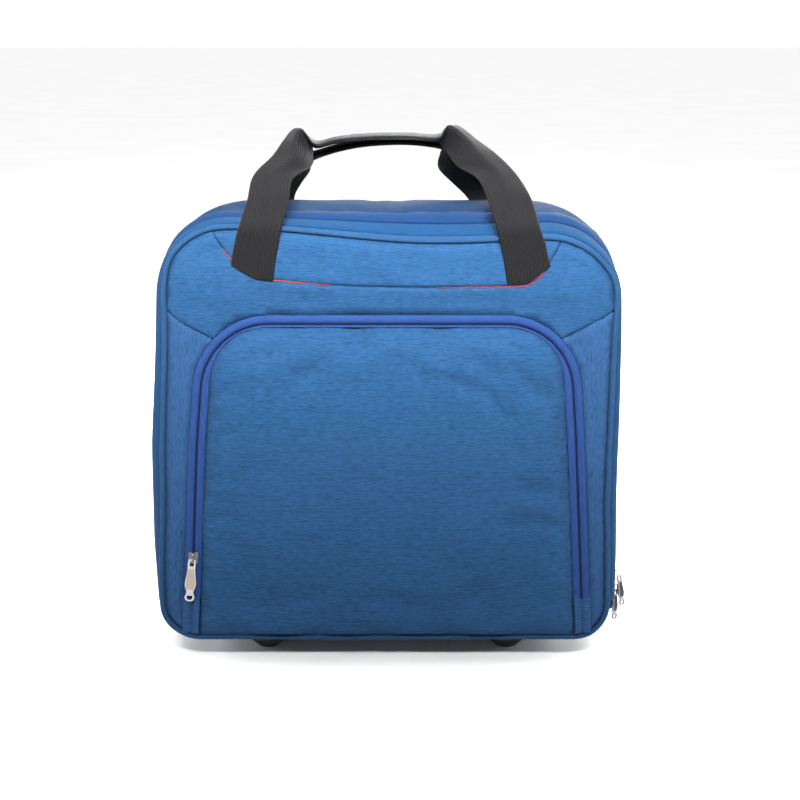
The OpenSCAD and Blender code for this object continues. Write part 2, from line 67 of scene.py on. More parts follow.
def new_mesh(name, points, faces):
    mesh = bpy.data.meshes.new(name)
    mesh.from_pydata([tuple(v) for v in np.asarray(points) * MM], [], [tuple(int(i) for i in f) for f in faces])
    return mesh


# ---- Camera ----
camera_data = bpy.data.cameras.new("camera")
camera_data.lens = 67.4
camera_data.sensor_width = 36
camera = add_object("camera", camera_data)
camera.location = (0.012, -1.3796, 0.5779)
camera.rotation_euler = (math.radians(75.70), 0, 0)
SCENE.camera = camera
SCENE.view_settings.view_transform = "Standard"


# ---- Measures from the frame ----
def box(node):
    lo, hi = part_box(node)
    return np.array(lo) / MM, np.array(hi) / MM


COIL_HI = box("zip_coil_rear")[1]
HALF, TOP = COIL_HI[0], COIL_HI[2]
CLOTH_IN = HALF - box("main_gusset")[1][0]
BASE = box("bottom_panel")[0][2] - CLOTH_IN
ZIP_END = box("zip_tape_rear")[0][2]
TOP_R, BOTTOM_R = 68.0, ZIP_END - BASE
FRONT_Y = box("front_board")[0][1]
WELT_LO, WELT_HI = box("rear_piping")
REAR_Y = (WELT_LO[1] + WELT_HI[1]) / 2
PIPING_R = (WELT_HI[1] - WELT_LO[1]) / 2
PIPING_IN = HALF - WELT_HI[0] + PIPING_R
PANEL_IN = HALF - box("front_board")[1][0]
SLIT_REAR = box("zip_tape_rear")[0][1]
SLIT_FRONT = box("zip_tape_front")[1][1]
ZIP_Y = (SLIT_REAR + SLIT_FRONT) / 2
FACE_Y = box("yoke_panel")[0][1]
REAR_CLOTH_Y, BACK_Y = (corner[1] for corner in box("back_panel"))
POCKET_LO, POCKET_HI = box("pocket_tape_outer")
POCKET_FACE_Y, POCKET_BOTTOM = box("pocket_panel")[0][1:]
POCKET_TOP, POCKET_ZIP_END = POCKET_HI[2], POCKET_LO[2]
POCKET_R = 68.0
POCKET_TOP_HALF, POCKET_BOTTOM_HALF = 174.0, 188.0
POCKET_SLOPE = (POCKET_BOTTOM_HALF - POCKET_TOP_HALF) / (POCKET_TOP - POCKET_R - POCKET_BOTTOM)

# The soft shape, set from the photo's outline: heights, and how far the cloth moves at each.
DRAWN_LEFT = ([60, 79, 97, 116, 135, 154, 192, 229, 267, 304, 323, 342, 361, 380],
              [0, 0, 0.9, 1.8, 3.4, 4.4, 5, 6.2, 6.6, 6.6, 6.2, 5.2, 3.4, 0])
DRAWN_RIGHT = ([30, 79, 116, 154, 192, 229, 267, 304, 323, 342, 361, 380],
               [3, 4.4, 5.4, 7.4, 7.0, 6.2, 4.8, 3.4, 1.8, 0.6, -1.2, 0])
BULGE_LEFT = ([58, 80, 116, 154, 210, 248, 304, 342, 372], [0, 1.7, 3.4, 2.8, 1.8, 0, -1.2, -1, 0])
BULGE_RIGHT = ([100, 154, 192, 229, 267, 304, 342], [0, -1.7, -2.1, -1.1, -0.4, 0.4, 0.6])
LEAN_LEFT, LEAN_RIGHT = 6.0, 3.0
ZIP_LIFT = 7.5


def smooth(a, b, x):
    t = np.clip((np.asarray(x, float) - a) / (b - a), 0, 1)
    return t * t * (3 - 2 * t)


def hump(x, centre, width):
    return np.exp(-((np.asarray(x, float) - centre) / width) ** 2)


def warp(points):
    """The soft shape laid over the straight one.

    The case leans in towards its top, its front rim is drawn in, its zipper bulges at the sides and
    stands proud along the top, and its top edge sags.
    """
    p = np.array(points, float)
    x, y, z = p[:, 0].copy(), p[:, 1], p[:, 2].copy()
    right, out = x > 0, np.abs(x)
    lean = np.where(right, LEAN_RIGHT, LEAN_LEFT) * smooth(190, 345, z)
    drawn_in = np.where(right, np.interp(z, *DRAWN_RIGHT), np.interp(z, *DRAWN_LEFT))
    drawn_in = drawn_in * smooth(184, 203, out) * smooth(FRONT_Y + 13, FRONT_Y + 3, y)
    bulge = np.where(right, np.interp(z, *BULGE_RIGHT), np.interp(z, *BULGE_LEFT))
    bulge = bulge * smooth(188, 206, out) * smooth(FRONT_Y + 3, ZIP_Y - 4, y) * smooth(35, SLIT_REAR + 16, y)
    belly = 1.8 * smooth(186, 206, out) * smooth(370, 300, z)
    p[:, 0] = x * (1 - lean / HALF) + np.sign(x) * (belly - drawn_in + bulge)
    sag = -3 + 12.2 * smooth(-135, 45, x) - 3 * smooth(45, 150, x)
    depth = np.interp(y, [FRONT_Y, ZIP_Y, -50], [1, 0.45, 0])
    lift = ZIP_LIFT * smooth(335, 386, z)
    lift = lift * smooth(FRONT_Y + 6, SLIT_REAR + 14, y) * smooth(75, SLIT_REAR + 22, y)
    p[:, 2] = z - sag * depth * smooth(330, 400, z) + lift
    return p


# ---- Paths ----
def arc(cx, cz, r, a0, a1, n):
    return [(cx + r * math.cos(math.radians(a0 + (a1 - a0) * i / n)),
             cz + r * math.sin(math.radians(a0 + (a1 - a0) * i / n))) for i in range(n + 1)]


def fill_line(points, step):
    """The points with more between them, no further than step apart."""
    out = [points[0]]
    for a, b in zip(points, points[1:]):
        d = math.dist(a, b)
        if d < 1e-6:
            continue
        n = max(1, math.ceil(d / step))
        out += [tuple(a[k] + (b[k] - a[k]) * i / n for k in range(len(a))) for i in range(1, n + 1)]
    return out


def with_normals(points, closed):
    """Points, outward normals and distance along, for a path that runs anticlockwise."""
    p = np.array(points, float)
    if closed:
        before, after = np.roll(p, 1, 0), np.roll(p, -1, 0)
    else:
        before, after = np.vstack([p[:1], p[:-1]]), np.vstack([p[1:], p[-1:]])
    t = after - before
    t /= np.maximum(np.linalg.norm(t, axis=1), 1e-9)[:, None]
    n = np.stack([t[:, 1], -t[:, 0]], 1)
    s = np.concatenate([[0], np.cumsum(np.linalg.norm(np.diff(p, axis=0), axis=1))])
    return p, n, s


def case_corners():
    """The case's two upper corners, from the right side to the left."""
    return (arc(HALF - TOP_R, TOP - TOP_R, TOP_R, 0, 90, 14)
            + arc(TOP_R - HALF, TOP - TOP_R, TOP_R, 90, 180, 14))


def zip_path(step=7):
    return with_normals(fill_line([(HALF, ZIP_END)] + case_corners() + [(-HALF, ZIP_END)], step), False)


def ring_path(step=7, breaks=()):
    """The case's whole outline, with points along its base at 0 and at each break."""
    stops = sorted([-b for b in breaks]) + [0.0] + sorted(breaks)
    base = [(x, BASE) for x in stops]
    half = len(stops) // 2
    points = (base[half:] + arc(HALF - BOTTOM_R, BASE + BOTTOM_R, BOTTOM_R, -90, 0, 10)
              + case_corners() + arc(BOTTOM_R - HALF, BASE + BOTTOM_R, BOTTOM_R, 180, 270, 10)
              + base[:half + 1])
    return with_normals(fill_line(points, step)[:-1], True)


def pocket_side(z):
    """Half the pocket's width where its sides are straight."""
    return POCKET_BOTTOM_HALF - (z - POCKET_BOTTOM) * POCKET_SLOPE


def pocket_line(z0, step=6):
    """The pocket's outline from z0 on the right, over the top, to z0 on the left."""
    cx, cz = POCKET_TOP_HALF - POCKET_R, POCKET_TOP - POCKET_R
    return fill_line([(pocket_side(z0), z0)] + arc(cx, cz, POCKET_R, 0, 90, 12)
                     + arc(-cx, cz, POCKET_R, 90, 180, 12) + [(-pocket_side(z0), z0)], step)


def inset_line(points, inset, closed):
    """The line moved inwards by inset, a number or one number for each point."""
    p, n, _ = with_normals(points, closed)
    return p - n * (np.reshape(inset, (-1, 1)) if np.ndim(inset) else inset)


# ---- Meshes ----
def make(name, points, faces, uv, material, body=None, nodes=(), smooth_shade=True):
    mesh = new_mesh(name, points, faces)
    layer = mesh.uv_layers.new(name="cloth")
    uv = np.asarray(uv, float) * MM
    index = np.zeros(len(mesh.loops), int)
    mesh.loops.foreach_get("vertex_index", index)
    layer.data.foreach_set("uv", uv[index].ravel())
    mesh.materials.append(material)
    if smooth_shade:
        mesh.polygons.foreach_set("use_smooth", [True] * len(mesh.polygons))
    mesh.validate()
    obj = add_object(name, mesh)
    if body:
        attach(obj, body)
    if nodes:
        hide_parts(*nodes)
    return obj


def solidify(obj, thickness, offset=-1, inner=None):
    m = obj.modifiers.new("thickness", "SOLIDIFY")
    m.thickness = thickness * MM
    m.offset = offset
    m.use_even_offset = False
    if inner is not None:
        obj.data.materials.append(inner)
        m.material_offset = 1
        m.material_offset_rim = 0
    return obj


def subdivide(obj):
    m = obj.modifiers.new("smooth", "SUBSURF")
    m.levels = m.render_levels = 1


def round_edges(obj, width, segments, limit):
    bevel = obj.modifiers.new("edge", "BEVEL")
    bevel.width = width * MM
    bevel.segments = segments
    bevel.limit_method = "ANGLE"
    bevel.angle_limit = math.radians(limit)


def grid_faces(rows, columns, closed=False):
    """Faces of a grid stored row by row. closed joins the last row to the first."""
    faces = []
    for i in range(rows if closed else rows - 1):
        for j in range(columns - 1):
            a, b = i * columns + j, i * columns + j + 1
            k = (i + 1) % rows
            faces.append((a, b, k * columns + j + 1, k * columns + j))
    return faces


def swept(path, profile):
    """Points of a strip along a path in the XZ plane.

    profile is a list of (inset, y), or a function that gives it for a place and a distance along.
    """
    p, n, s = path
    points, uv = [], []
    for i in range(len(p)):
        rows = profile(p[i]) if callable(profile) else profile
        v = 0.0
        for j, (inset, y) in enumerate(rows):
            if j:
                v += math.dist(rows[j], rows[j - 1])
            points.append((p[i][0] - n[i][0] * inset, y, p[i][1] - n[i][1] * inset))
            uv.append((s[i], v))
    return np.array(points), np.array(uv), len(rows)


def cord(inset, y, r, sides=12):
    """The profile of a round cord."""
    return [(inset - r * math.cos(2 * math.pi * k / sides), y + r * math.sin(2 * math.pi * k / sides))
            for k in range(sides + 1)]


def keep_faces(points, faces, keep):
    """The faces whose centres pass the test keep."""
    faces = np.array(faces)
    return faces[keep(points[faces].mean(1))]


def swept_piece(name, path, profile, material, body, node, closed=False, keep=None):
    """A strip or a cord along a path."""
    p, uv, columns = swept(path, profile)
    faces = grid_faces(len(path[0]), columns, closed)
    if keep:
        faces = keep_faces(p, faces, keep)
    return make(name, warp(p), faces, uv, material, body, (node,))


def upright(co, y):
    """Points of a sheet in the XZ plane, at depth y."""
    return np.stack([co[:, 0], np.broadcast_to(y, len(co)), co[:, 1]], 1)


def loop_distance(points, loop):
    return line_distance(points, np.array(list(loop) + [loop[0]]))


def triangulate(outer, holes, seams=(), rows=(), grid=(), tolerance=1e-4):
    """Triangles inside outer and outside the holes, with edges along the seams and rows of points beside them."""
    points, edges = [], []

    def add(line, last):
        first = len(points)
        points.extend(line)
        edges.extend([(first + i, first + (i + 1) % len(line)) for i in range(last)])

    for loop in [outer] + holes:
        add(loop, len(loop))
    for seam in seams:
        add(seam, len(seam) - 1)
        for row in rows:
            points.extend(inset_line(seam, -row, False))
            points.extend(inset_line(seam, row, False))
    points = [Vector((float(a), float(b))) for a, b in points + list(grid)]
    co, _, faces, *_ = delaunay_2d_cdt(points, edges, [], 0, tolerance)
    co = np.array([tuple(c) for c in co])
    faces = np.array([tuple(f) for f in faces])
    centre = co[faces].mean(1)
    good = inside(centre, outer)
    for hole in holes:
        good &= ~inside(centre, hole)
    used, index = np.unique(faces[good], return_inverse=True)
    return co[used], index.reshape(-1, 3)


def region_mesh(outer, holes, seams, step, rows=(1.3, 2.8, 5.0)):
    """An even triangle mesh of an area, finer beside its seams."""
    lo, hi = np.min(outer, 0), np.max(outer, 0)
    columns = np.arange(lo[0] + step / 2, hi[0], step)
    levels = np.arange(lo[1] + step / 2, hi[1], step * 0.87)
    grid = np.array([(x + (step / 2 if k % 2 else 0), z) for k, z in enumerate(levels) for x in columns])
    keep = np.min([loop_distance(grid, loop) for loop in [outer] + holes], axis=0) > step * 0.5
    if seams:
        seam_near = np.min([line_distance(grid, np.array(s)) for s in seams], axis=0)
        keep &= seam_near > max(rows) + step * 0.4
    return triangulate(outer, holes, seams, rows, grid[keep])


def inside(points, polygon):
    polygon = np.array(polygon)
    x, y = points[:, 0], points[:, 1]
    result = np.zeros(len(points), bool)
    for (x0, y0), (x1, y1) in zip(polygon, np.roll(polygon, -1, 0)):
        if y0 == y1:
            continue
        cross = ((y0 > y) != (y1 > y)) & (x < (x1 - x0) * (y - y0) / (y1 - y0) + x0)
        result ^= cross
    return result


def line_distance(points, line):
    """Distance of each point from a polyline."""
    best = np.full(len(points), 1e9)
    for a, b in zip(line[:-1], line[1:]):
        d = b - a
        t = np.clip(((points - a) @ d) / max(d @ d, 1e-9), 0, 1)
        best = np.minimum(best, np.linalg.norm(points - a - t[:, None] * d, axis=1))
    return best


def settle(points, faces, held, pressure, slack, cap, bend=0.6):
    """Cloth simulation of a sheet. The held points stay, and no point moves further than cap."""
    frames, stiffness = 16, 12.0
    mesh = new_mesh("settling", points, faces)
    obj = add_object("settling", mesh)
    group = obj.vertex_groups.new(name="held")
    group.add([int(i) for i in np.nonzero(held)[0]], 1.0, "REPLACE")
    modifier = obj.modifiers.new("cloth", "CLOTH")
    c = modifier.settings
    c.quality = 5
    c.mass = 0.2
    c.tension_stiffness = c.compression_stiffness = stiffness
    c.shear_stiffness = stiffness / 2
    c.bending_stiffness = bend
    c.air_damping = 3
    c.vertex_group_mass = "held"
    c.pin_stiffness = 1
    c.shrink_min = -slack
    c.use_pressure = True
    c.uniform_pressure_force = pressure
    c.effector_weights.gravity = 0
    modifier.point_cache.frame_start = 1
    modifier.point_cache.frame_end = frames
    for number in range(1, frames + 1):
        SCENE.frame_set(number)
    done = obj.evaluated_get(bpy.context.evaluated_depsgraph_get()).to_mesh()
    after = np.zeros(len(done.vertices) * 3)
    done.vertices.foreach_get("co", after)
    after = after.reshape(-1, 3) / MM
    move = after - points
    far = np.linalg.norm(move, axis=1)
    move *= np.minimum(1, cap / np.maximum(far, 1e-9))[:, None]
    bpy.data.objects.remove(obj)
    bpy.data.meshes.remove(mesh)
    SCENE.frame_set(1)
    return points + move


# ---- Materials ----
def new_material(name):
    material = bpy.data.materials.new(name)
    material.use_nodes = True
    tree = material.node_tree
    tree.nodes.clear()
    out = tree.nodes.new("ShaderNodeOutputMaterial")
    shader = tree.nodes.new("ShaderNodeBsdfPrincipled")
    tree.links.new(shader.outputs[0], out.inputs[0])
    return material, tree, shader


def noise_node(tree, vector, scale, detail=3, rough=0.55):
    n = tree.nodes.new("ShaderNodeTexNoise")
    n.inputs["Scale"].default_value = scale
    n.inputs["Detail"].default_value = detail
    n.inputs["Roughness"].default_value = rough
    tree.links.new(vector, n.inputs["Vector"])
    return n.outputs["Fac"]


def coordinates(tree, scale, uv=True):
    c = tree.nodes.new("ShaderNodeUVMap" if uv else "ShaderNodeTexCoord")
    if uv:
        c.uv_map = "cloth"
    m = tree.nodes.new("ShaderNodeMapping")
    m.inputs["Scale"].default_value = scale
    tree.links.new(c.outputs[0] if uv else c.outputs["Object"], m.inputs["Vector"])
    return m.outputs[0]


def stretched_noise(tree, scale, detail=2, rough=0.5):
    """Noise with its own scale along each direction of the cloth."""
    return noise_node(tree, coordinates(tree, scale), 1, detail, rough)


def ramp(tree, fac, stops):
    r = tree.nodes.new("ShaderNodeValToRGB")
    tree.links.new(fac, r.inputs["Fac"])
    while len(r.color_ramp.elements) < len(stops):
        r.color_ramp.elements.new(0.5)
    for element, (place, colour) in zip(r.color_ramp.elements, stops):
        element.position = place
        element.color = (*colour, 1)
    return r.outputs["Color"]


def multiply(tree, a, b, fac=1.0):
    m = tree.nodes.new("ShaderNodeMix")
    m.data_type = "RGBA"
    m.blend_type = "MULTIPLY"
    m.inputs["Factor"].default_value = fac
    tree.links.new(a, m.inputs["A"])
    tree.links.new(b, m.inputs["B"])
    return m.outputs["Result"]


def wave(tree, vector, scale, direction="X", distortion=0.0):
    w = tree.nodes.new("ShaderNodeTexWave")
    w.wave_type = "BANDS"
    w.bands_direction = direction
    w.inputs["Scale"].default_value = scale
    w.inputs["Distortion"].default_value = distortion
    tree.links.new(vector, w.inputs["Vector"])
    return w.outputs["Fac"]


def bump(tree, shader, height, strength, distance):
    b = tree.nodes.new("ShaderNodeBump")
    b.inputs["Strength"].default_value = strength
    b.inputs["Distance"].default_value = distance
    tree.links.new(height, b.inputs["Height"])
    tree.links.new(b.outputs[0], shader.inputs["Normal"])


def maths(tree, operation, a, b):
    m = tree.nodes.new("ShaderNodeMath")
    m.operation = operation
    for i, v in enumerate((a, b)):
        if isinstance(v, (int, float)):
            m.inputs[i].default_value = v
        else:
            tree.links.new(v, m.inputs[i])
    return m.outputs[0]


def grey(v):
    return (v, v, v)


def shade(colour, factor):
    return tuple(c * factor for c in colour)


def surface(tree, shader, colour, roughness, specular=0.5, sheen=0.0):
    """Connects the colour and sets how the surface shines. roughness is a number or a node's output."""
    tree.links.new(colour, shader.inputs["Base Color"])
    if isinstance(roughness, float):
        shader.inputs["Roughness"].default_value = roughness
    else:
        tree.links.new(roughness, shader.inputs["Roughness"])
    shader.inputs["Specular IOR Level"].default_value = specular
    shader.inputs["Sheen Weight"].default_value = sheen


def melange(name, colour, contrast=1.0, gloss=0.12):
    """Woven polyester in two yarns: fine streaks along the cloth, with a plain weave."""
    material, tree, shader = new_material(name)
    streaks = stretched_noise(tree, (130, 980, 1), 4, 0.62)
    long_streaks = stretched_noise(tree, (22, 420, 1))
    specks = stretched_noise(tree, (420, 1300, 1))
    patches = stretched_noise(tree, (14, 14, 14))
    dark = shade(colour, 1 - 0.46 * contrast)
    pale = tuple(min(1, c * (1 + 0.28 * contrast) + 0.004 * contrast) for c in colour)
    base = ramp(tree, streaks, [(0.28, dark), (0.47, colour), (0.74, pale)])
    base = multiply(tree, base, ramp(tree, long_streaks, [(0.34, grey(0.88)), (0.52, grey(1.03))]))
    base = multiply(tree, base, ramp(tree, specks, [(0.30, grey(0.80)), (0.50, grey(1.0))]), 0.8)
    base = multiply(tree, base, ramp(tree, patches, [(0.3, grey(0.93)), (0.7, grey(1.0))]))
    surface(tree, shader, base, 0.80, gloss, gloss / 4)
    shader.inputs["Sheen Tint"].default_value = (0.35, 0.6, 1.0, 1)
    vector = coordinates(tree, (1, 1, 1))
    weave = maths(tree, "ADD", wave(tree, vector, 330, "X", 0.5), wave(tree, vector, 330, "Y", 0.5))
    height = maths(tree, "ADD", weave, maths(tree, "MULTIPLY", specks, 1.5))
    bump(tree, shader, height, 0.35, 0.00025)
    return material


def tape(name, colour, rib=360):
    """Zipper tape: a dense herringbone weave with fine ribs across it."""
    material, tree, shader = new_material(name)
    vector = coordinates(tree, (1, 1, 1))
    grain = noise_node(tree, coordinates(tree, (90, 500, 1)), 1)
    fine = wave(tree, vector, rib, "X", 0.8)
    cross = wave(tree, vector, rib * 1.6, "Y", 0.4)
    base = ramp(tree, grain, [(0.3, shade(colour, 0.78)), (0.6, colour)])
    base = multiply(tree, base, ramp(tree, fine, [(0.0, grey(0.72)), (0.6, grey(1.0))]), 0.8)
    surface(tree, shader, base, 0.7, 0.07, 0.01)
    bump(tree, shader, maths(tree, "ADD", fine, cross), 0.45, 0.0003)
    return material


def webbing(name, colour):
    """Heavy ribbed webbing, a fine cross-hatch of warp and weft."""
    material, tree, shader = new_material(name)
    vector = coordinates(tree, (1, 1, 1))
    warp_ribs = wave(tree, vector, 160, "Y", 0.15)
    weft = wave(tree, vector, 290, "X", 0.3)
    hatch = maths(tree, "MULTIPLY", warp_ribs, weft)
    wear = noise_node(tree, coordinates(tree, (60, 60, 60)), 1)
    base = ramp(tree, hatch, [(0.0, shade(colour, 0.35)), (0.35, colour), (1.0, shade(colour, 1.45))])
    base = multiply(tree, base, ramp(tree, wear, [(0.3, grey(0.8)), (0.7, grey(1.0))]))
    surface(tree, shader, base, 0.6, 0.12, 0.03)
    bump(tree, shader, maths(tree, "ADD", hatch, warp_ribs), 0.6, 0.0005)
    return material


def fabric(name, colour, uv=True):
    """Plain woven lining or binding cloth."""
    material, tree, shader = new_material(name)
    vector = coordinates(tree, (1, 1, 1), uv)
    weft = wave(tree, vector, 420, "Y" if uv else "Z", 0.6)
    weave = maths(tree, "ADD", wave(tree, vector, 420, "X", 0.6), weft)
    fleck = noise_node(tree, vector, 260)
    base = ramp(tree, fleck, [(0.3, shade(colour, 0.7)), (0.7, shade(colour, 1.15))])
    surface(tree, shader, base, 0.85, 0.25)
    bump(tree, shader, weave, 0.4, 0.0003)
    return material


def plastic(name, colour, roughness, grain=900, depth=0.00012, specular=0.5):
    """Moulded plastic or rubber with a fine spark-eroded grain and slight rubbing."""
    material, tree, shader = new_material(name)
    vector = coordinates(tree, (1, 1, 1), False)
    pits = noise_node(tree, vector, grain, 2)
    rub = noise_node(tree, vector, 35, 4)
    surface(tree, shader, ramp(tree, rub, [(0.35, shade(colour, 0.85)), (0.7, shade(colour, 1.2))]),
            ramp(tree, rub, [(0.3, grey(roughness - 0.08)), (0.7, grey(min(1, roughness + 0.08)))]), specular)
    bump(tree, shader, pits, 0.5, depth)
    return material


def metal(name, colour, roughness, brushed=(1, 1, 1)):
    """Plated or drawn metal with fine marks."""
    material, tree, shader = new_material(name)
    marks = noise_node(tree, coordinates(tree, tuple(400 * b for b in brushed), False), 1)
    tone = noise_node(tree, coordinates(tree, (90, 90, 90), False), 1, 2)
    surface(tree, shader, ramp(tree, tone, [(0.3, shade(colour, 0.88)), (0.7, colour)]),
            ramp(tree, marks, [(0.3, grey(roughness * 0.7)), (0.7, grey(min(1, roughness * 1.3)))]))
    shader.inputs["Metallic"].default_value = 1
    bump(tree, shader, marks, 0.15, 0.00005)
    return material


cloth_front = melange("melange_front", (0.0089, 0.0396, 0.0990), gloss=0.08)
cloth_side = melange("melange_grain_up", (0.0111, 0.0414, 0.1073))
# Painted shade: the front's melange made darker for the case's top, sides and back, where less light falls.
cloth_body_painted_shade = melange("melange_body_painted_shade", (0.0052, 0.0176, 0.0480), gloss=0.03)
piping_cloth = melange("melange_piping", (0.0078, 0.0345, 0.0860), contrast=0.6)
royal = tape("royal_tape_cloth", (0.0125, 0.0385, 0.1330))
royal_main = tape("royal_tape_main", (0.0030, 0.0320, 0.0900))
# Painted shade: the rear zip tape is a darker copy of the front tape's blue.
royal_painted_shade = tape("royal_tape_painted_shade", (0.0026, 0.0225, 0.0740), 520)
coil_royal = tape("zipper_coil_nylon", (0.004, 0.009, 0.040), 900)
binding_red = fabric("binding_red", (0.17, 0.022, 0.030))
strap_black = webbing("black_webbing_cloth", (0.0034, 0.0032, 0.0041))
lining = fabric("lining_cloth", (0.060, 0.064, 0.072), uv=False)
lining_uv = fabric("lining_cloth_sewn", (0.060, 0.064, 0.072))
binding_black = fabric("binding_black", (0.016, 0.016, 0.018))
black_plastic = plastic("black_moulding", (0.0075, 0.0075, 0.0082), 0.45, specular=0.22)
foot_rubber = plastic("foot_rubber", (0.010, 0.010, 0.011), 0.6, 500, 0.0002, 0.35)
tyre_rubber = plastic("wheel_rubber", (0.014, 0.014, 0.014), 0.68, 700, 0.0002, 0.3)
hub_grey = plastic("wheel_hub_plastic", (0.040, 0.040, 0.043), 0.40, specular=0.3)
nickel = metal("bright_plated_metal", (0.50, 0.49, 0.47), 0.22)
inlay_dark = metal("dark_inlay_metal", (0.030, 0.028, 0.030), 0.4)
# Painted shade: a darker copy of the bright plating, for the main pulls' rims.
nickel_painted_shade = metal("plated_metal_painted_shade", (0.27, 0.26, 0.26), 0.30)
nickel_warm = metal("satin_plated_metal", (0.40, 0.335, 0.285), 0.36)
gunmetal = metal("slider_metal", (0.17, 0.165, 0.165), 0.28)
tube_metal = metal("drawn_aluminium", (0.40, 0.405, 0.42), 0.30, (1, 1, 0.02))
axle_metal = metal("axle_steel", (0.55, 0.55, 0.56), 0.3)
screw_metal = metal("screw_steel", (0.10, 0.10, 0.105), 0.4)

# ---- Case body ----
# The body cloth is cut away round the wheel housings, and the stiff panels stay further off.
CUT_GAP, PANEL_GAP = 0.4, 1.9
HOUSING_LO, HOUSING_HI = box("wheel_housing_right")
CUT_X0, CUT_X1 = HOUSING_LO[0] - CUT_GAP, HOUSING_HI[0] + CUT_GAP
ROOM_X0, ROOM_X1 = HOUSING_LO[0] - PANEL_GAP, HOUSING_HI[0] + PANEL_GAP
ROOM_Y, ROOM_Z = HOUSING_LO[1] - CUT_GAP, HOUSING_HI[2] + CUT_GAP


def in_housing_cut(centre):
    out = np.abs(centre[:, 0])
    return (out > CUT_X0) & (out < CUT_X1) & (centre[:, 2] < ROOM_Z)


# The gusset's rows run from the bottom panel's front edge to just behind the rear piping's seam.
case_ring = ring_path(7, (CUT_X0, CUT_X1))
GUSSET_Y0 = box("main_gusset")[0][1]
gusset_rows = [box("bottom_panel")[0][1], -84, -77, -71, GUSSET_Y0]
gusset_rows += list(np.linspace(GUSSET_Y0, ROOM_Y, 18)[1:]) + list(np.linspace(ROOM_Y, REAR_CLOTH_Y, 6)[1:])
gusset_rows += [REAR_CLOTH_Y + 1.5]
GUSSET_PUFF = 2.6


def gusset_profile(point):
    puff = GUSSET_PUFF * float(smooth(ZIP_END - 5, ZIP_END + 40, point[1]))
    rows = []
    for y in gusset_rows:
        t = np.clip((y - GUSSET_Y0) / (REAR_CLOTH_Y - GUSSET_Y0), 0, 1)
        rows.append((CLOTH_IN - puff * math.sin(math.pi * t) ** 0.7, y))
    return rows


def is_gusset(c):
    housing = in_housing_cut(c) & (c[:, 1] > ROOM_Y)
    return ~housing & ~((c[:, 1] < GUSSET_Y0) & (c[:, 2] > ZIP_END))


p, uv, columns = swept(case_ring, gusset_profile)
faces = keep_faces(p, grid_faces(len(case_ring[0]), columns, True), is_gusset)
held = (p[:, 1] < GUSSET_Y0 + 1) | (p[:, 1] > REAR_CLOTH_Y - 1) | (p[:, 2] < ZIP_END + 1)
p = settle(p, faces, held, pressure=0.5, slack=0.008, cap=4)
case_skin = make("case_gusset_cloth", warp(p), faces, uv, cloth_body_painted_shade, "case",
                 ("bottom_panel", "main_gusset"))
solidify(case_skin, 2.4, -1, lining)
subdivide(case_skin)

# Rear piping, and the binding over its spring wire.
WIRE_IN, WIRE_R = PIPING_IN + 2.6, 2.0
swept_piece("rear_piping_cloth", case_ring, cord(PIPING_IN, REAR_Y, PIPING_R), piping_cloth,
            "case", "rear_piping", True, lambda c: ~in_housing_cut(c))
swept_piece("rear_wire_binding", case_ring, cord(WIRE_IN, REAR_CLOTH_Y - 7, WIRE_R, 8), binding_black,
            "case", "rear_frame_wire", True, lambda c: ~in_housing_cut(c))

# Back panel, under the sleeve of the telescopic handle. It's only slack beside the handle.
PANEL_ROUND = 2.2
rooms = [[(s * x, z) for x, z in ((ROOM_X0, -10), (ROOM_X1, -10), (ROOM_X1, ROOM_Z), (ROOM_X0, ROOM_Z))]
         for s in (-1, 1)]
back_outer = [tuple(q) for q in case_ring[0] - case_ring[1] * (PANEL_IN - 0.4)]
co, faces = region_mesh(back_outer, rooms, [], 9)
edge = loop_distance(co, back_outer)
p = upright(co, BACK_Y - PANEL_ROUND + PANEL_ROUND * smooth(0, 6, edge))
faces = faces[:, ::-1]
slack_zone = (np.abs(co[:, 0]) > 100) & (co[:, 1] > 70)
p = settle(p, faces, (edge < 0.5) | ~slack_zone, pressure=0.6, slack=0.006, cap=3)
back_skin = make("back_panel_cloth", warp(p), faces, co, cloth_body_painted_shade, "case", ("back_panel",))
solidify(back_skin, 2.0)

# Sleeve over the tubes, sewn down 3 mm outside them, with a shallow dip between the two.
SLEEVE_LO, SLEEVE_HI = box("trolley_cover")
HEM, ROUNDING = 3, 2.6
sx = np.linspace(SLEEVE_LO[0] - HEM, SLEEVE_HI[0] + HEM, 61)
sz = np.linspace(SLEEVE_LO[2] - HEM, SLEEVE_HI[2], 75)
gx, gz = np.meshgrid(sx, sz)
side = np.minimum(gx - sx[0], sx[-1] - gx)
rise = 1 - np.exp(-(np.maximum(side - HEM, 0) / ROUNDING) ** 1.6)
rise = rise * (1 - np.exp(-(np.maximum(gz - sz[0] - HEM, 0) / ROUNDING) ** 1.6))
dip = 1.6 * np.exp(-(gx / 34) ** 2) * smooth(40, 90, gz) * smooth(360, 300, gz)
gy = SLEEVE_LO[1] + 0.6 + (SLEEVE_HI[1] - SLEEVE_LO[1] - 0.6) * rise - dip * rise
p = np.stack([gx.ravel(), gy.ravel(), gz.ravel()], 1)
p[:, 1] += 0.35 * np.sin(p[:, 2] / 19 + p[:, 0] / 37) * rise.ravel() - 0.35 * rise.ravel()
sleeve = make("trolley_sleeve_cloth", p, [f[::-1] for f in grid_faces(75, 61)], p[:, [0, 2]], cloth_body_painted_shade,
              "case", ("trolley_cover",))
solidify(sleeve, 1.2, 1)

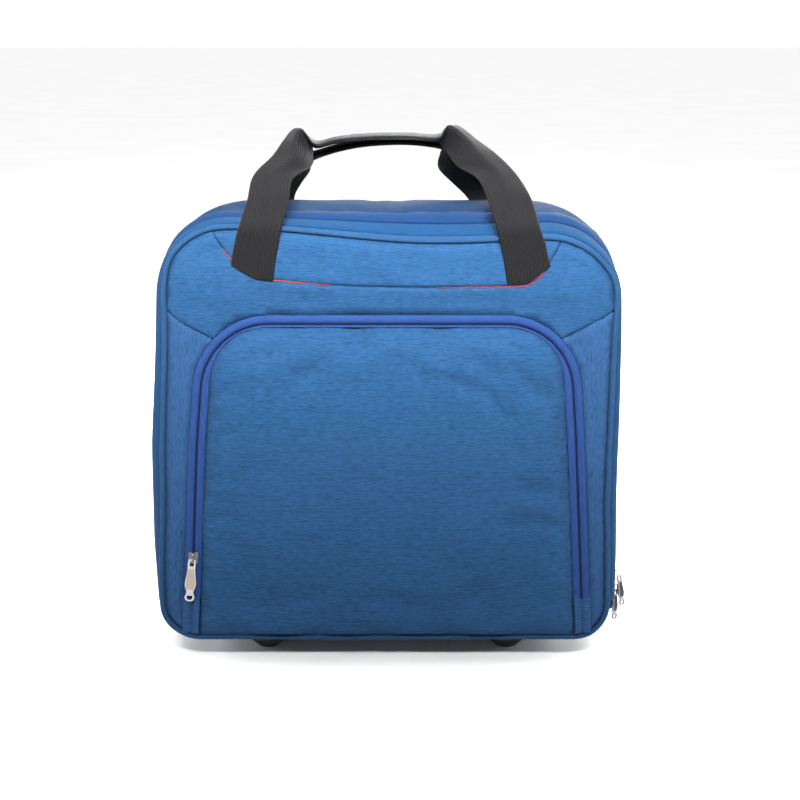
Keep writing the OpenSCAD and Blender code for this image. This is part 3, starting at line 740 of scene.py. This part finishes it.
# ---- Main zipper ----
TAPE_WIDTH, COIL_IN, COIL_R = 19, 4.0, 1.1
zip_line = zip_path(7)
REAR_TAPE = [(3.9, SLIT_REAR + 0.1), (2.5, SLIT_REAR + 0.3), (1.5, SLIT_REAR + 2.5), (1.0, SLIT_REAR + 8),
             (1.2, SLIT_REAR + 14), (1.9, SLIT_REAR + 18.5), (3.0, SLIT_REAR + 19.6)]
FRONT_TAPE = [(3.8, SLIT_FRONT - 16.3), (2.2, SLIT_FRONT - 15.8), (1.0, SLIT_FRONT - 12), (0.7, SLIT_FRONT - 7),
              (1.2, SLIT_FRONT - 2.5), (2.4, SLIT_FRONT - 0.3), (3.9, SLIT_FRONT - 0.1)]
for word, rows, coil_y, body, material in (
        ("rear", REAR_TAPE, SLIT_REAR + 0.55, "case", royal_painted_shade),
        ("front", FRONT_TAPE, SLIT_FRONT - 0.55, "front_cover", royal_main)):
    band = swept_piece(f"zip_tape_{word}_cloth", zip_line, rows, material,
                       body, f"zip_tape_{word}")
    solidify(band, 0.9)
    subdivide(band)
    swept_piece(f"zip_coil_{word}_nylon", zip_line, cord(COIL_IN, coil_y, COIL_R, 8), coil_royal,
                body, f"zip_coil_{word}")

# Folded cloth tabs over the zipper's two ends, each bent round the lower corner.
TABS_LO, TABS_HI = box("zip_end_tabs")
TAB_ROWS, TAB_COLUMNS = 6, 7
tab_points, tab_faces, tab_uv = [], [], []
for sign in (-1, 1):
    first = len(tab_points)
    angles = np.linspace(-math.asin((ZIP_END - TABS_LO[2]) / BOTTOM_R), 0.02, TAB_ROWS)
    for i, a in enumerate(angles):
        for j, y in enumerate(np.linspace(TABS_LO[1], TABS_HI[1], TAB_COLUMNS)):
            t = abs(j - 3) / 3
            fold = 2.6 * (1 - t * t) * float(hump(i, 1.6, 1.6))
            lift = 1.6 * (1 - t ** 4) * (1 - abs(i - 2.5) / 2.5 * 0.35) + fold
            r = BOTTOM_R - CLOTH_IN + 0.2 + lift
            tab_points.append((sign * (HALF - BOTTOM_R + r * math.cos(a)), y, ZIP_END + r * math.sin(a)))
            tab_uv.append((j * 2.3, i * 2.6))
    for f in grid_faces(TAB_ROWS, TAB_COLUMNS):
        f = tuple(first + k for k in f)
        tab_faces.append(f if sign > 0 else f[::-1])
tabs = make("zip_end_tab_cloth", warp(tab_points), tab_faces, tab_uv, cloth_body_painted_shade, "case", ("zip_end_tabs",))
solidify(tabs, 1.6)
subdivide(tabs)

# ---- Front cover ----
full_ring = ring_path(7)
swept_piece("front_piping_cloth", full_ring, cord(PIPING_IN, FRONT_Y, PIPING_R), piping_cloth,
            "front_cover", "front_piping", True)
swept_piece("front_wire_binding", full_ring,
            cord(WIRE_IN, box("front_frame_wire")[0][1] + 1.2, WIRE_R, 8), binding_black,
            "front_cover", "front_frame_wire", True)
RIM_ROWS = [(5.4, FRONT_Y + 1.6), (4.4, FRONT_Y + 3), (3.9, FRONT_Y + 5), (3.9, ZIP_Y - 6)]
front_skin = swept_piece("front_gusset_cloth", zip_line, RIM_ROWS, piping_cloth,
                         "front_cover", "front_gusset")
solidify(front_skin, 2.2, -1, lining)

front_outer = [tuple(q) for q in full_ring[0] - full_ring[1] * (PANEL_IN - 0.5)]
co, faces = region_mesh(front_outer, [], [], 12)
front_back = make("front_board_lining", warp(upright(co, FRONT_Y + 0.6)), faces, co, lining_uv, "front_cover",
                  ("front_board",))
solidify(front_back, 2.0)

# The yoke's seam, from its right end to its left one, and the seams above the two side panels.
YOKE_X, YOKE_BOTTOM, YOKE_R = 116.0, box("yoke_panel")[0][2] - 0.7, 24.0
YOKE_END = TOP + 20
YOKE_LEFT = [(32, 0), (60, 0.8), (83, 2), (101, 3.4), (112, 5.2), (126, 10.5), (136, 18), (143, 26), (150, 36),
             (170, YOKE_END - YOKE_BOTTOM)]
SEAM_STEP = 4.5
yoke_line = fill_line([(YOKE_X + 52, YOKE_END), (YOKE_X + 26, YOKE_BOTTOM + YOKE_R - 3)]
                      + arc(YOKE_X, YOKE_BOTTOM + YOKE_R, YOKE_R, -30, -90, 6)
                      + [(-x, YOKE_BOTTOM + dz) for x, dz in YOKE_LEFT], SEAM_STEP)
SEAM_IN, SEAM_OUT = (150.0, 302.0), (HALF + 20, 345.0)
seams = [yoke_line] + [fill_line([(s * x, z) for x, z in (SEAM_IN, SEAM_OUT)], SEAM_STEP) for s in (-1, 1)]

# Creases, each from a to b, with its width and depth. A negative depth is a fold that stands up.
FRONT_CREASES = (
    ((-118, 348), (-62, 338), 9, 1.2), ((118, 348), (160, 330), 10, 1.2), ((-150, 352), (-176, 330), 9, 1.0),
    ((60, 346), (96, 336), 8, 0.9), ((-40, 350), (10, 347), 7, 0.7), ((-66, 396), (-70, 362), 12, 1.0),
    ((66, 396), (74, 362), 12, 1.0), ((0, 392), (0, 366), 40, -1.2), ((186, 240), (190, 200), 7, 0.8),
    ((-187, 200), (-192, 150), 7, 0.8))
POCKET_CREASES = (
    ((-100, 300), (-60, 270), 12, 0.9), ((95, 298), (140, 250), 13, 1.0), ((-20, 305), (-35, 240), 12, 0.8),
    ((45, 305), (30, 255), 12, 0.8), ((-150, 150), (-100, 190), 14, 0.9), ((150, 120), (90, 160), 16, 0.9),
    ((-120, 60), (-60, 80), 14, 0.8), ((60, 55), (120, 75), 14, 0.8), ((-160, 240), (-130, 200), 10, 0.7))


def crease(points, a, b, width, depth):
    """How far a crease from a to b, in the XZ plane, moves each point."""
    d = line_distance(points[:, [0, 2]], np.array([a, b], float))
    return depth * np.exp(-(d / width) ** 2)


# The front's cloth is one sheet round the pocket, cut along the seams after it has settled.
pocket_edge = pocket_line(POCKET_BOTTOM)
pocket_hole = [tuple(q) for q in inset_line(pocket_edge, -0.2, False)]
pocket_hole += [(-POCKET_BOTTOM_HALF, 5), (POCKET_BOTTOM_HALF, 5)]
co, faces = region_mesh(front_outer, [pocket_hole], seams, 6.5)
outer_edge = loop_distance(co, front_outer)
hole_edge = loop_distance(co, pocket_hole)
seam_edge = np.min([line_distance(co, np.array(s)) for s in seams], axis=0)
fullness = 1.2 * smooth(4, 40, outer_edge) * smooth(0, 30, hole_edge)
p = upright(co, FACE_Y + 2.6 - 2.6 * smooth(0, 6, outer_edge) - fullness)
held = (outer_edge < 0.6) | (hole_edge < 0.6) | (seam_edge < 0.5)
SINK = 0.4
before = p[:, 1].copy()
p = settle(p, faces, held, pressure=1.2, slack=0.012, cap=4.5)
p[:, 1] = np.minimum(p[:, 1], before + SINK)
seam_groove = 1.1 * np.exp(-(seam_edge / 1.5) ** 2) - 0.5 * np.exp(-((seam_edge - 4) / 2.4) ** 2)
p[:, 1] += seam_groove * smooth(0.5, 5, outer_edge)
for a, b, width, depth in FRONT_CREASES:
    p[:, 1] += crease(p, a, b, width, depth) * smooth(0, 6, hole_edge) * smooth(0, 6, outer_edge)

centre = co[faces].mean(1)
in_yoke = inside(centre, yoke_line)
slope = (SEAM_OUT[1] - SEAM_IN[1]) / (SEAM_OUT[0] - SEAM_IN[0])
out = np.abs(centre[:, 0])
below = (out > SEAM_IN[0] - 5) & (centre[:, 1] < SEAM_IN[1] + (out - SEAM_IN[0]) * slope)
left = centre[:, 0] < 0
for name, mask, node, material, grain_up in (
        ("yoke_panel_cloth", in_yoke, "yoke_panel", cloth_front, False),
        ("upper_front_cloth", ~in_yoke & ~below, "upper_front_panel", cloth_front, False),
        ("side_panel_left_cloth", ~in_yoke & below & left, "side_panel_left", cloth_side, True),
        ("side_panel_right_cloth", ~in_yoke & below & ~left, "side_panel_right", cloth_side, True)):
    used, index = np.unique(faces[mask], return_inverse=True)
    index = index.reshape(-1, 3)
    q = p[used]
    panel = make(name, warp(q), index, q[:, [2, 0]] if grain_up else q[:, [0, 2]], material, "front_cover",
                 (node,))
    solidify(panel, 1.2)
    a, b, c = (q[index[:, k]] for k in range(3))
    lo, hi = box(node)
    width, height = (hi[0] - lo[0]) * MM, (hi[2] - lo[2]) * MM

# Red binding along the yoke seam. It's widest beside the straps and left out between them.
TRIM_X = 44
trim_line = np.array([q for q in yoke_line if q[1] < (384 if q[0] < 0 else 376)])
trim_p, trim_n, trim_s = with_normals(trim_line, False)
trim_points, trim_uv = [], []
for i, q in enumerate(trim_p):
    nearest = np.argmin(((p[:, [0, 2]] - q) ** 2).sum(1) + 1e3 * (seam_edge > 0.6))
    y = p[nearest, 1] - 1.0
    taper = 1 - 0.85 * float(smooth(368, 382 if q[0] < 0 else 374, q[1]))
    w = 0.08 + 0.44 * float(smooth(TRIM_X, 96, abs(q[0]))) * taper
    for off, dy in ((-w, 0.9), (-w * 0.7, 0.1), (0, -0.25), (w * 0.7, 0.1), (w, 0.9)):
        trim_points.append((q[0] + trim_n[i][0] * off, y + dy, q[1] + trim_n[i][1] * off))
        trim_uv.append((trim_s[i], off))
shown = np.abs(trim_p[:, 0]) > TRIM_X
trim_faces = [(a, b, c, d) for a, b, c, d in grid_faces(len(trim_p), 5) if shown[a // 5] and shown[d // 5]]
trim = make("yoke_trim_binding", warp(trim_points), trim_faces, trim_uv, binding_red, "front_cover",
            ("yoke_trim",))
solidify(trim, 0.4, 0)

# ---- Pocket ----
pocket_zip = with_normals(pocket_line(POCKET_ZIP_END), False)


def toward_top(z):
    return float(smooth(POCKET_TOP - 66, POCKET_TOP - 6, z))


OUTER_ROWS = [(-0.3, FACE_Y + 0.6), (0.5, FACE_Y - 0.8), (2.2, FACE_Y - 1.9), (4.8, FACE_Y - 2.0),
              (6.9, FACE_Y - 1.2), (7.5, FACE_Y + 0.4)]


def inner_rows(point):
    """The inner tape is narrower along the top."""
    end = 15.2 - 5.0 * toward_top(point[1])
    return [(8.5, FACE_Y + 0.4), (9.0, FACE_Y - 1.2), (9.6 + (end - 9.6) * 0.3, FACE_Y - 2.1),
            (9.6 + (end - 9.6) * 0.75, FACE_Y - 2.2), (end + 0.8, FACE_Y - 1.4)]


for word, rows, coil_in, body in (
        ("outer", OUTER_ROWS, 7.3, "front_cover"),
        ("inner", inner_rows, 8.7, "pocket_flap")):
    band = swept_piece(f"pocket_tape_{word}_cloth", pocket_zip, rows, royal, body, f"pocket_tape_{word}")
    for polygon in band.data.polygons:
        polygon.flip()
    solidify(band, 0.8)
    subdivide(band)
    _, uv, columns = swept(pocket_zip, rows)
    length, width = pocket_zip[2][-1], float(uv[:, 1].reshape(-1, columns)[:, -1].mean())
    swept_piece(f"pocket_coil_{word}_nylon", pocket_zip, cord(coil_in, FACE_Y + 0.2, 0.9, 8), coil_royal,
                body, f"pocket_coil_{word}")

# The pocket's panel stands out from its rim, with dents under its zipper and along its sides.
POCKET_LOW = POCKET_BOTTOM - 2.6
POCKET_DEPTH = FACE_Y - POCKET_FACE_Y
pocket_insets = [14.6 - 5.2 * toward_top(q[1]) for q in pocket_edge]
pocket_rim = [tuple(q) for q in inset_line(pocket_edge, pocket_insets, False)]
pocket_rim[0], pocket_rim[-1] = (pocket_rim[0][0], POCKET_LOW), (pocket_rim[-1][0], POCKET_LOW)
co, faces = region_mesh(pocket_rim + fill_line([pocket_rim[-1], pocket_rim[0]], 6)[1:-1], [], [], 5.5)
rim_d = line_distance(co, np.array(pocket_rim))
low_d = co[:, 1] - POCKET_LOW
stand = (POCKET_DEPTH - 2) * (1 - np.exp(-(rim_d / 8.5) ** 1.15)) * (1 - np.exp(-(low_d / 7) ** 1.1))
stand += 5.0 * smooth(8, 120, rim_d) * smooth(4, 110, low_d)
for x, width, depth in ((-27, 15, 6.5), (48, 17, 6.0), (-90, 22, 2.4), (112, 18, 2.4)):
    under_zip = np.exp(-(rim_d / 20) ** 2) * smooth(280, 300, co[:, 1])
    stand -= depth * hump(co[:, 0], x, width) * under_zip * smooth(0, 5, rim_d)
for side, levels in ((-1, (255, 217, 137, 176)), (1, (253, 240, 206, 132, 165))):
    for k, z in enumerate(levels):
        reach = 26 - 4 * (k % 3)
        near = hump(co[:, 1] - z, 0.25 * rim_d, 2.6 + 0.12 * rim_d) * hump(rim_d, 0, reach)
        stand -= 2.3 * near * (co[:, 0] * side > 0) * smooth(1, 7, rim_d)
p = upright(co, FACE_Y + 0.4 - stand)
p = settle(p, faces, (rim_d < 0.6) | (low_d < 0.6), pressure=0.9, slack=0.02, cap=4, bend=0.3)
for a, b, width, depth in POCKET_CREASES:
    p[:, 1] += crease(p, a, b, width, depth) * smooth(2, 12, rim_d)
pocket = make("pocket_panel_cloth", warp(p), faces, p[:, [0, 2]], cloth_front, "pocket_flap",
              ("pocket_panel", "pocket_gusset"))
solidify(pocket, 1.2, -1, lining_uv)

# Cloth below the ends of the pocket's zipper.
FOLD_INSETS = np.array([-0.6, 1.0, 3.0, 5.0, 6.8, 7.8, 8.3, 9.2, 11.0, 13.0, 15.0])


def fold_depth(inset):
    """Two low ridges with a crease between them."""
    outer_ridge = 1.3 * math.sin(math.pi * min(max(inset, 0), 7.6) / 7.6) * (inset < 7.7)
    inner_ridge = 1.4 * float(smooth(8.2, 10, inset)) + 1.2 * float(smooth(10, 15, inset))
    return FACE_Y - outer_ridge + 0.9 * math.exp(-((inset - 8) / 0.7) ** 2) - inner_ridge


for side, word in ((-1, "left"), (1, "right")):
    levels = np.linspace(POCKET_BOTTOM - 1, POCKET_ZIP_END + 2, 12)
    q = [(side * (pocket_side(z) - inset), fold_depth(inset), z) for z in levels for inset in FOLD_INSETS]
    tiles = grid_faces(len(levels), len(FOLD_INSETS))
    fold = make(f"pocket_fold_{word}", warp(q), tiles if side < 0 else [t[::-1] for t in tiles],
                [(v[0], v[2]) for v in q], cloth_side)
    solidify(fold, 1.0)
    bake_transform(fold)


# ---- Carry handles ----
def spline(stations, per):
    s = np.array(stations, float)
    out = []
    for i in range(len(s) - 1):
        p0, p1, p2, p3 = s[max(i - 1, 0)], s[i], s[i + 1], s[min(i + 2, len(s) - 1)]
        for k in range(per):
            t = k / per
            out.append(0.5 * (2 * p1 + (p2 - p0) * t + (2 * p0 - 5 * p1 + 4 * p2 - p3) * t * t
                              + (3 * p1 - p0 - 3 * p2 + p3) * t ** 3))
    out.append(s[-1])
    return np.array(out)

def strap(name, stations, nodes):
    """Webbing through stations of (edge, middle, edge), folded along its middle at the grip.
    """
    blend_from, blend_to, split = 366, 381, 5
    line = spline(stations, 7)
    points, uv, s = [], [], 0.0
    for i, (o, k, e) in enumerate(line):
        if i:
            s += float(np.linalg.norm(line[i][1] - line[i - 1][1]))
        for j in range(2 * split + 1):
            t = j / split
            points.append(o + (k - o) * t if t <= 1 else k + (e - k) * (t - 1))
            uv.append((s, STRAP_WIDTH * j / (2 * split)))
    faces = grid_faces(len(line), 2 * split + 1)
    obj = make(name, points, faces, uv, strap_black, None, nodes)
    solidify(obj, 1.9, 0)
    subdivide(obj)
    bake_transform(obj)


def level(side, x, y, z):
    """A station where the webbing lies flat and level."""
    return [(side * (x + off), y, z) for off in (STRAP_WIDTH / 2, 0, -STRAP_WIDTH / 2)]


STRAP_WIDTH = 38
STRAP_Y = FACE_Y - 2.4
front_right = [
    ((142.5, STRAP_Y, 371), (123.5, STRAP_Y, 355.5), (104.5, STRAP_Y, 354)),
    ((140, STRAP_Y - 0.3, 379), (121, STRAP_Y - 0.3, 374), (102, STRAP_Y - 0.3, 372)),
    ((137, STRAP_Y - 0.8, 391), (118, STRAP_Y - 0.8, 388), (99, STRAP_Y - 0.8, 386)),
    ((131.5, -99, 407), (112.5, -99.5, 406), (94, -99, 405)),
    ((126, -86, 426), (107, -86.5, 425), (88, -86, 424)),
    ((116, -58, 443), (100, -59, 444), (80, -58, 441)),
    ((100, -35, 459), (82, -39, 460), (64, -18, 448)),
    ((81, -16, 472), (70, -24, 474), (55, -4, 459)),
    ((63, -8, 484), (55, -22, 485), (47, -3, 469)),
    ((47, -3.5, 476), (47, -21, 474), (46, -3, 470)),
    ((18, -3, 477), (18, -21, 475), (18, -3, 471.5))]
front_left = [
    ((-18, -3, 476.5), (-18, -21, 474.5), (-18, -3, 471)),
    ((-45, -3, 473.5), (-45, -21, 472), (-45, -3, 468)),
    ((-64, -3.5, 470), (-64, -21, 468), (-64, -3, 463.5)),
    ((-82, -8, 481), (-76, -22, 482), (-67, -3, 467)),
    ((-93, -16, 471), (-82, -24, 472), (-67, -4, 458)),
    ((-102, -35, 459), (-83, -38, 458), (-68, -18, 448)),
    ((-117, -58, 444), (-100, -59, 443), (-82, -58, 441)),
    ((-120, -86, 426), (-102, -86.5, 425), (-84, -86, 424)),
    ((-126, -99, 407), (-107.5, -99.5, 406), (-89, -99, 405)),
    ((-130.5, STRAP_Y - 0.8, 390), (-112, STRAP_Y - 0.8, 388), (-93, STRAP_Y - 0.8, 386)),
    ((-133, STRAP_Y - 0.3, 379), (-114.5, STRAP_Y - 0.3, 374), (-95.5, STRAP_Y - 0.3, 372)),
    ((-134.5, STRAP_Y, 371.5), (-116, STRAP_Y, 360), (-97.5, STRAP_Y, 357))]
strap("front_handle_webbing", front_right + front_left,
      ("front_handle", "front_handle_anchors"))

REAR_STRAP_Y = BACK_Y + 2.0
rear_right = [
    level(1, 109, REAR_STRAP_Y, 353.5),
    level(1, 109, REAR_STRAP_Y + 0.3, 372),
    level(1, 107.5, REAR_STRAP_Y + 1.2, 389),
    ((118, 93.5, 408), (98, 94.5, 408), (78, 93.5, 407)),
    ((106, 78, 424), (85, 79, 425), (64, 78, 422)),
    ((92, 52, 438), (71, 53, 439), (50, 54, 437)),
    ((77, 32, 452), (62, 34, 452), (47, 30, 447)),
    ((66, 14, 464), (60, 25, 463), (49, 8, 458)),
    ((48, 5, 469), (48, 23, 466), (48, 5, 462.5)),
    ((18, 4.5, 472), (18, 23, 469), (18, 4.5, 466))]
rear_left = [
    ((-18, 4.5, 471), (-18, 23, 468), (-18, 4.5, 464.5)),
    ((-45, 4.5, 466), (-45, 23, 463.5), (-45, 4.5, 459.5)),
    ((-66, 5, 460), (-66, 23, 457), (-66, 5, 452.5)),
    ((-78, 14, 457), (-74, 25, 455), (-68, 8, 449)),
    ((-92, 32, 450), (-80, 34, 449), (-71, 30, 444)),
    ((-108, 52, 438), (-90, 53, 438), (-74, 54, 436)),
    ((-118, 78, 424), (-101, 79, 424), (-84, 78, 422)),
    ((-127, 93.5, 408), (-110, 94.5, 408), (-91.5, 93.5, 407)),
    level(-1, 109, REAR_STRAP_Y + 1.2, 389),
    level(-1, 109, REAR_STRAP_Y + 0.3, 372),
    level(-1, 109, REAR_STRAP_Y, 353.5)]
strap("rear_handle_webbing", rear_right + rear_left,
      ("rear_handle", "rear_handle_anchors"))

# ---- Inside ----
# Padded divider: two faces with a quilted line near the edge, joined by a rim.
DIVIDER_LO, DIVIDER_HI = box("laptop_divider")
FOOT_X, DIVIDER_X, DIVIDER_CUT, DIVIDER_FOOT = ROOM_X0 - 3, 178, 20, ROOM_Z + 2
divider_line = fill_line([(-FOOT_X, DIVIDER_LO[2]), (FOOT_X, DIVIDER_LO[2]), (FOOT_X, DIVIDER_FOOT),
                          (DIVIDER_X, DIVIDER_FOOT), (DIVIDER_X, DIVIDER_HI[2] - DIVIDER_CUT),
                          (DIVIDER_X - DIVIDER_CUT, DIVIDER_HI[2]), (DIVIDER_CUT - DIVIDER_X, DIVIDER_HI[2]),
                          (-DIVIDER_X, DIVIDER_HI[2] - DIVIDER_CUT), (-DIVIDER_X, DIVIDER_FOOT),
                          (-FOOT_X, DIVIDER_FOOT), (-FOOT_X, DIVIDER_LO[2])], 8)[:-1]
co, faces = region_mesh(divider_line, [], [], 8)
edge = loop_distance(co, divider_line)
half = np.maximum(2.9 * (1 - np.exp(-(edge / 5) ** 1.2)) - 0.9 * np.exp(-((edge - 9) / 1.6) ** 2), 0.05)
middle = (DIVIDER_LO[1] + DIVIDER_HI[1]) / 2
p = np.concatenate([upright(co, middle - half), upright(co, middle + half)])
borders = [(a, b) for f in faces for a, b in zip(f, np.roll(f, -1))]
inner = set(borders)
rim = [(b, a, a + len(co), b + len(co)) for a, b in borders if (b, a) not in inner]
all_faces = [tuple(f) for f in faces] + [tuple(f[::-1] + len(co)) for f in faces] + rim
divider = make("laptop_divider_pad", p, all_faces, p[:, [0, 2]], lining_uv, "case", ("laptop_divider",))

# Its strap hangs over the divider's top edge.
STRAP_LO, STRAP_HI = box("divider_strap")
edge_z = DIVIDER_HI[2]
front_y, rear_y = STRAP_LO[1], STRAP_HI[1]
run = fill_line([(rear_y - 0.8, STRAP_HI[2]), (rear_y - 0.8, edge_z + 4), (rear_y - 3, edge_z + 1.6),
                 (front_y + 3, edge_z + 1.6), (front_y + 0.6, edge_z - 1), (front_y + 0.6, STRAP_LO[2])], 5)
p = [(x, y, z) for y, z in run for x in np.linspace(STRAP_LO[0], STRAP_HI[0], 6)]
uv = [(5.0 * i, x) for i in range(len(run)) for x in np.linspace(0, 25, 6)]
inner_strap = make("divider_strap_webbing", p, grid_faces(len(run), 6), uv, strap_black, "case",
                   ("divider_strap",))
solidify(inner_strap, 1.2, 0)


# ---- Zipper pulls ----
# Half widths of a 41 mm long pull, at distances from its head.
PULL_HALVES = [(0.0, 2.6), (1.0, 3.5), (3, 3.9), (7, 3.9), (10, 3.7), (15, 4.3), (21, 5.3), (24, 5.6),
               (27, 5.2), (30, 4.0), (32, 3.4), (34, 3.9), (36, 4.8), (38, 4.9), (40, 3.6), (41, 1.6)]


def mirrored(half):
    """A closed outline from its right half."""
    return half + [(-x, z) for x, z in reversed(half)]


def pull(name, node, body, length, at, axes, inlay=None):
    """Cast zipper pull: a bright rim round a satin panel, an eye at its head and a D hole at its end.

    axes are the directions across it, down its length and out of its face.
    """
    k = length / 41
    wide = 0.93 if k > 0.9 else 0.86
    across, down, outward = (np.array(v, float) for v in axes)
    outline = mirrored([(h * wide, -t * k) for t, h in PULL_HALVES])
    window = mirrored([(h * wide - 1.15, -t * k) for t, h in PULL_HALVES if 10 <= t <= 30])
    eye = [(1.7, -2.6 * k), (-1.7, -2.6 * k), (-1.7, -7 * k), (1.7, -7 * k)]
    end = [(2.6, -35.5 * k), (-2.6, -35.5 * k), (-2.2, -38.4 * k), (0, -39.4 * k), (2.2, -38.4 * k)]

    def flat_piece(part, outer, holes, off, thickness, material):
        c, f = triangulate(outer, holes, tolerance=1e-5)
        q = np.array(at) + c[:, :1] * across - c[:, 1:] * down + off * outward
        obj = make(part, q, f, c, material, body, (), smooth_shade=False)
        solidify(obj, thickness, 0)
        round_edges(obj, 0.28, 3, 40)
        return obj

    # With an inlay the rim takes the darker copy of the plating, which is painted shade.
    rim_piece = flat_piece(name, outline, [eye, window, end], 0, 1.5, nickel_painted_shade if inlay else nickel)
    flat_piece(name + "_panel", [(a * 1.1, b) for a, b in window], [], -0.1, 0.7, inlay or nickel_warm)
    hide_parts(node)


PULL_LO, PULL_HI = box("pocket_pull")
pull_lean = math.atan(POCKET_SLOPE)
pull("pocket_pull_metal", "pocket_pull", "pocket_zip_pull", 41,
     ((PULL_LO[0] + PULL_HI[0]) / 2 + 1.2, PULL_LO[1] + 0.9, PULL_HI[2] - 0.4),
     ((math.cos(pull_lean), 0, -math.sin(pull_lean)), (-0.1, 0, -1), (0, -1, 0)))
MAIN_TURN = math.radians(40)
turn_x, turn_y = math.sin(MAIN_TURN), math.cos(MAIN_TURN)
for word, body, sway in (("upper", "main_zip_pull", 0.14), ("lower", "lower_zip_pull", 0.0)):
    lo, hi = box(f"main_pull_{word}")
    pull(f"main_pull_{word}_metal", f"main_pull_{word}", body, 30, (hi[0] - 0.8, ZIP_Y, hi[2] - 0.3),
         ((turn_x, turn_y, 0), (sway, 0, -1), (turn_y, -turn_x, 0)), inlay_dark)


# ---- Carried-over CAD nodes ----
def dress(material, edge, *nodes):
    for name in nodes:
        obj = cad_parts[name]
        obj.data.materials.clear()
        obj.data.materials.append(material)
        weld = obj.modifiers.new("weld", "WELD")
        weld.merge_threshold = 0.00002
        round_edges(obj, edge, 2, 38)
        obj.modifiers.new("facing", "WEIGHTED_NORMAL")


dress(black_plastic, 1.0, "trolley_housing", "trolley_base", "trolley_grip", "wheel_housing_left",
      "wheel_housing_right")
dress(black_plastic, 0.5, "grip_button", "middle_plugs")
dress(tube_metal, 0.25, "outer_tubes", "middle_tubes", "inner_tubes")
dress(foot_rubber, 2.0, "front_foot_left", "front_foot_right")
dress(tyre_rubber, 0.5, "wheel_tyre_left", "wheel_tyre_right")
dress(hub_grey, 0.6, "wheel_hub_left", "wheel_hub_right")
dress(axle_metal, 0.4, "axle_left", "axle_right")
dress(screw_metal, 0.3, "case_screws")
dress(lining, 0.6, "back_board", "base_board")
dress(gunmetal, 0.25, "pocket_slider", "main_slider_upper", "main_slider_lower")

# ---- Floor and light ----
FLOOR = 30
floor_material, tree, shader = new_material("pale_floor")
floor_noise = noise_node(tree, coordinates(tree, (3, 3, 3), False), 1, 2)
floor_tone = ramp(tree, floor_noise, [(0.3, grey(0.90)), (0.7, grey(0.93))])
surface(tree, shader, floor_tone, 0.9, 0.1)
floor_mesh = bpy.data.meshes.new("floor")
floor_mesh.from_pydata([(-FLOOR, -FLOOR, 0), (FLOOR, -FLOOR, 0), (FLOOR, FLOOR, 0), (-FLOOR, FLOOR, 0)], [],
                       [(0, 1, 2, 3)])
floor_mesh.materials.append(floor_material)
add_object("floor", floor_mesh)

world = bpy.data.worlds.new("studio")
world.use_nodes = True
tree = world.node_tree
sky = tree.nodes.new("ShaderNodeTexCoord")
split = tree.nodes.new("ShaderNodeSeparateXYZ")
tree.links.new(sky.outputs["Generated"], split.inputs[0])
sky_stops = [(0.0, grey(1.0)), (0.08, grey(1.0)), (0.25, grey(0.15)), (1.0, grey(0.22))]
sky_tone = ramp(tree, split.outputs["Z"], sky_stops)
tree.links.new(sky_tone, tree.nodes["Background"].inputs["Color"])
tree.nodes["Background"].inputs["Strength"].default_value = 1.05
SCENE.world = world


def area_light(name, place, target, size, energy, spread=180):
    data = bpy.data.lights.new(name, "AREA")
    data.shape = "RECTANGLE"
    data.size, data.size_y = size
    data.energy = energy
    data.spread = math.radians(spread)
    lamp = add_object(name, data)
    lamp.location = place
    lamp.rotation_euler = (Vector(target) - Vector(place)).to_track_quat("-Z", "Y").to_euler()
    lamp.visible_camera = False


area_light("key_front_top", (0.0, -1.10, 1.15), (0, 0, 0.62), (1.0, 0.30), 20, 52)
area_light("top", (0.0, 0.15, 1.9), (0, 0, 0.3), (1.6, 1.6), 1)
area_light("back_fill", (0.5, 1.9, 1.1), (0, 0, 0.22), (1.4, 1.2), 78)
area_light("left_fill", (-1.9, 0.25, 0.9), (0, 0, 0.22), (1.2, 1.0), 30)
area_light("right_fill", (1.9, 0.25, 0.9), (0, 0, 0.22), (1.2, 1.0), 30)
sun_data = bpy.data.lights.new("floor_sun", "SUN")
sun_data.energy = 2.6
sun_data.angle = math.radians(70)
add_object("floor_sun", sun_data)
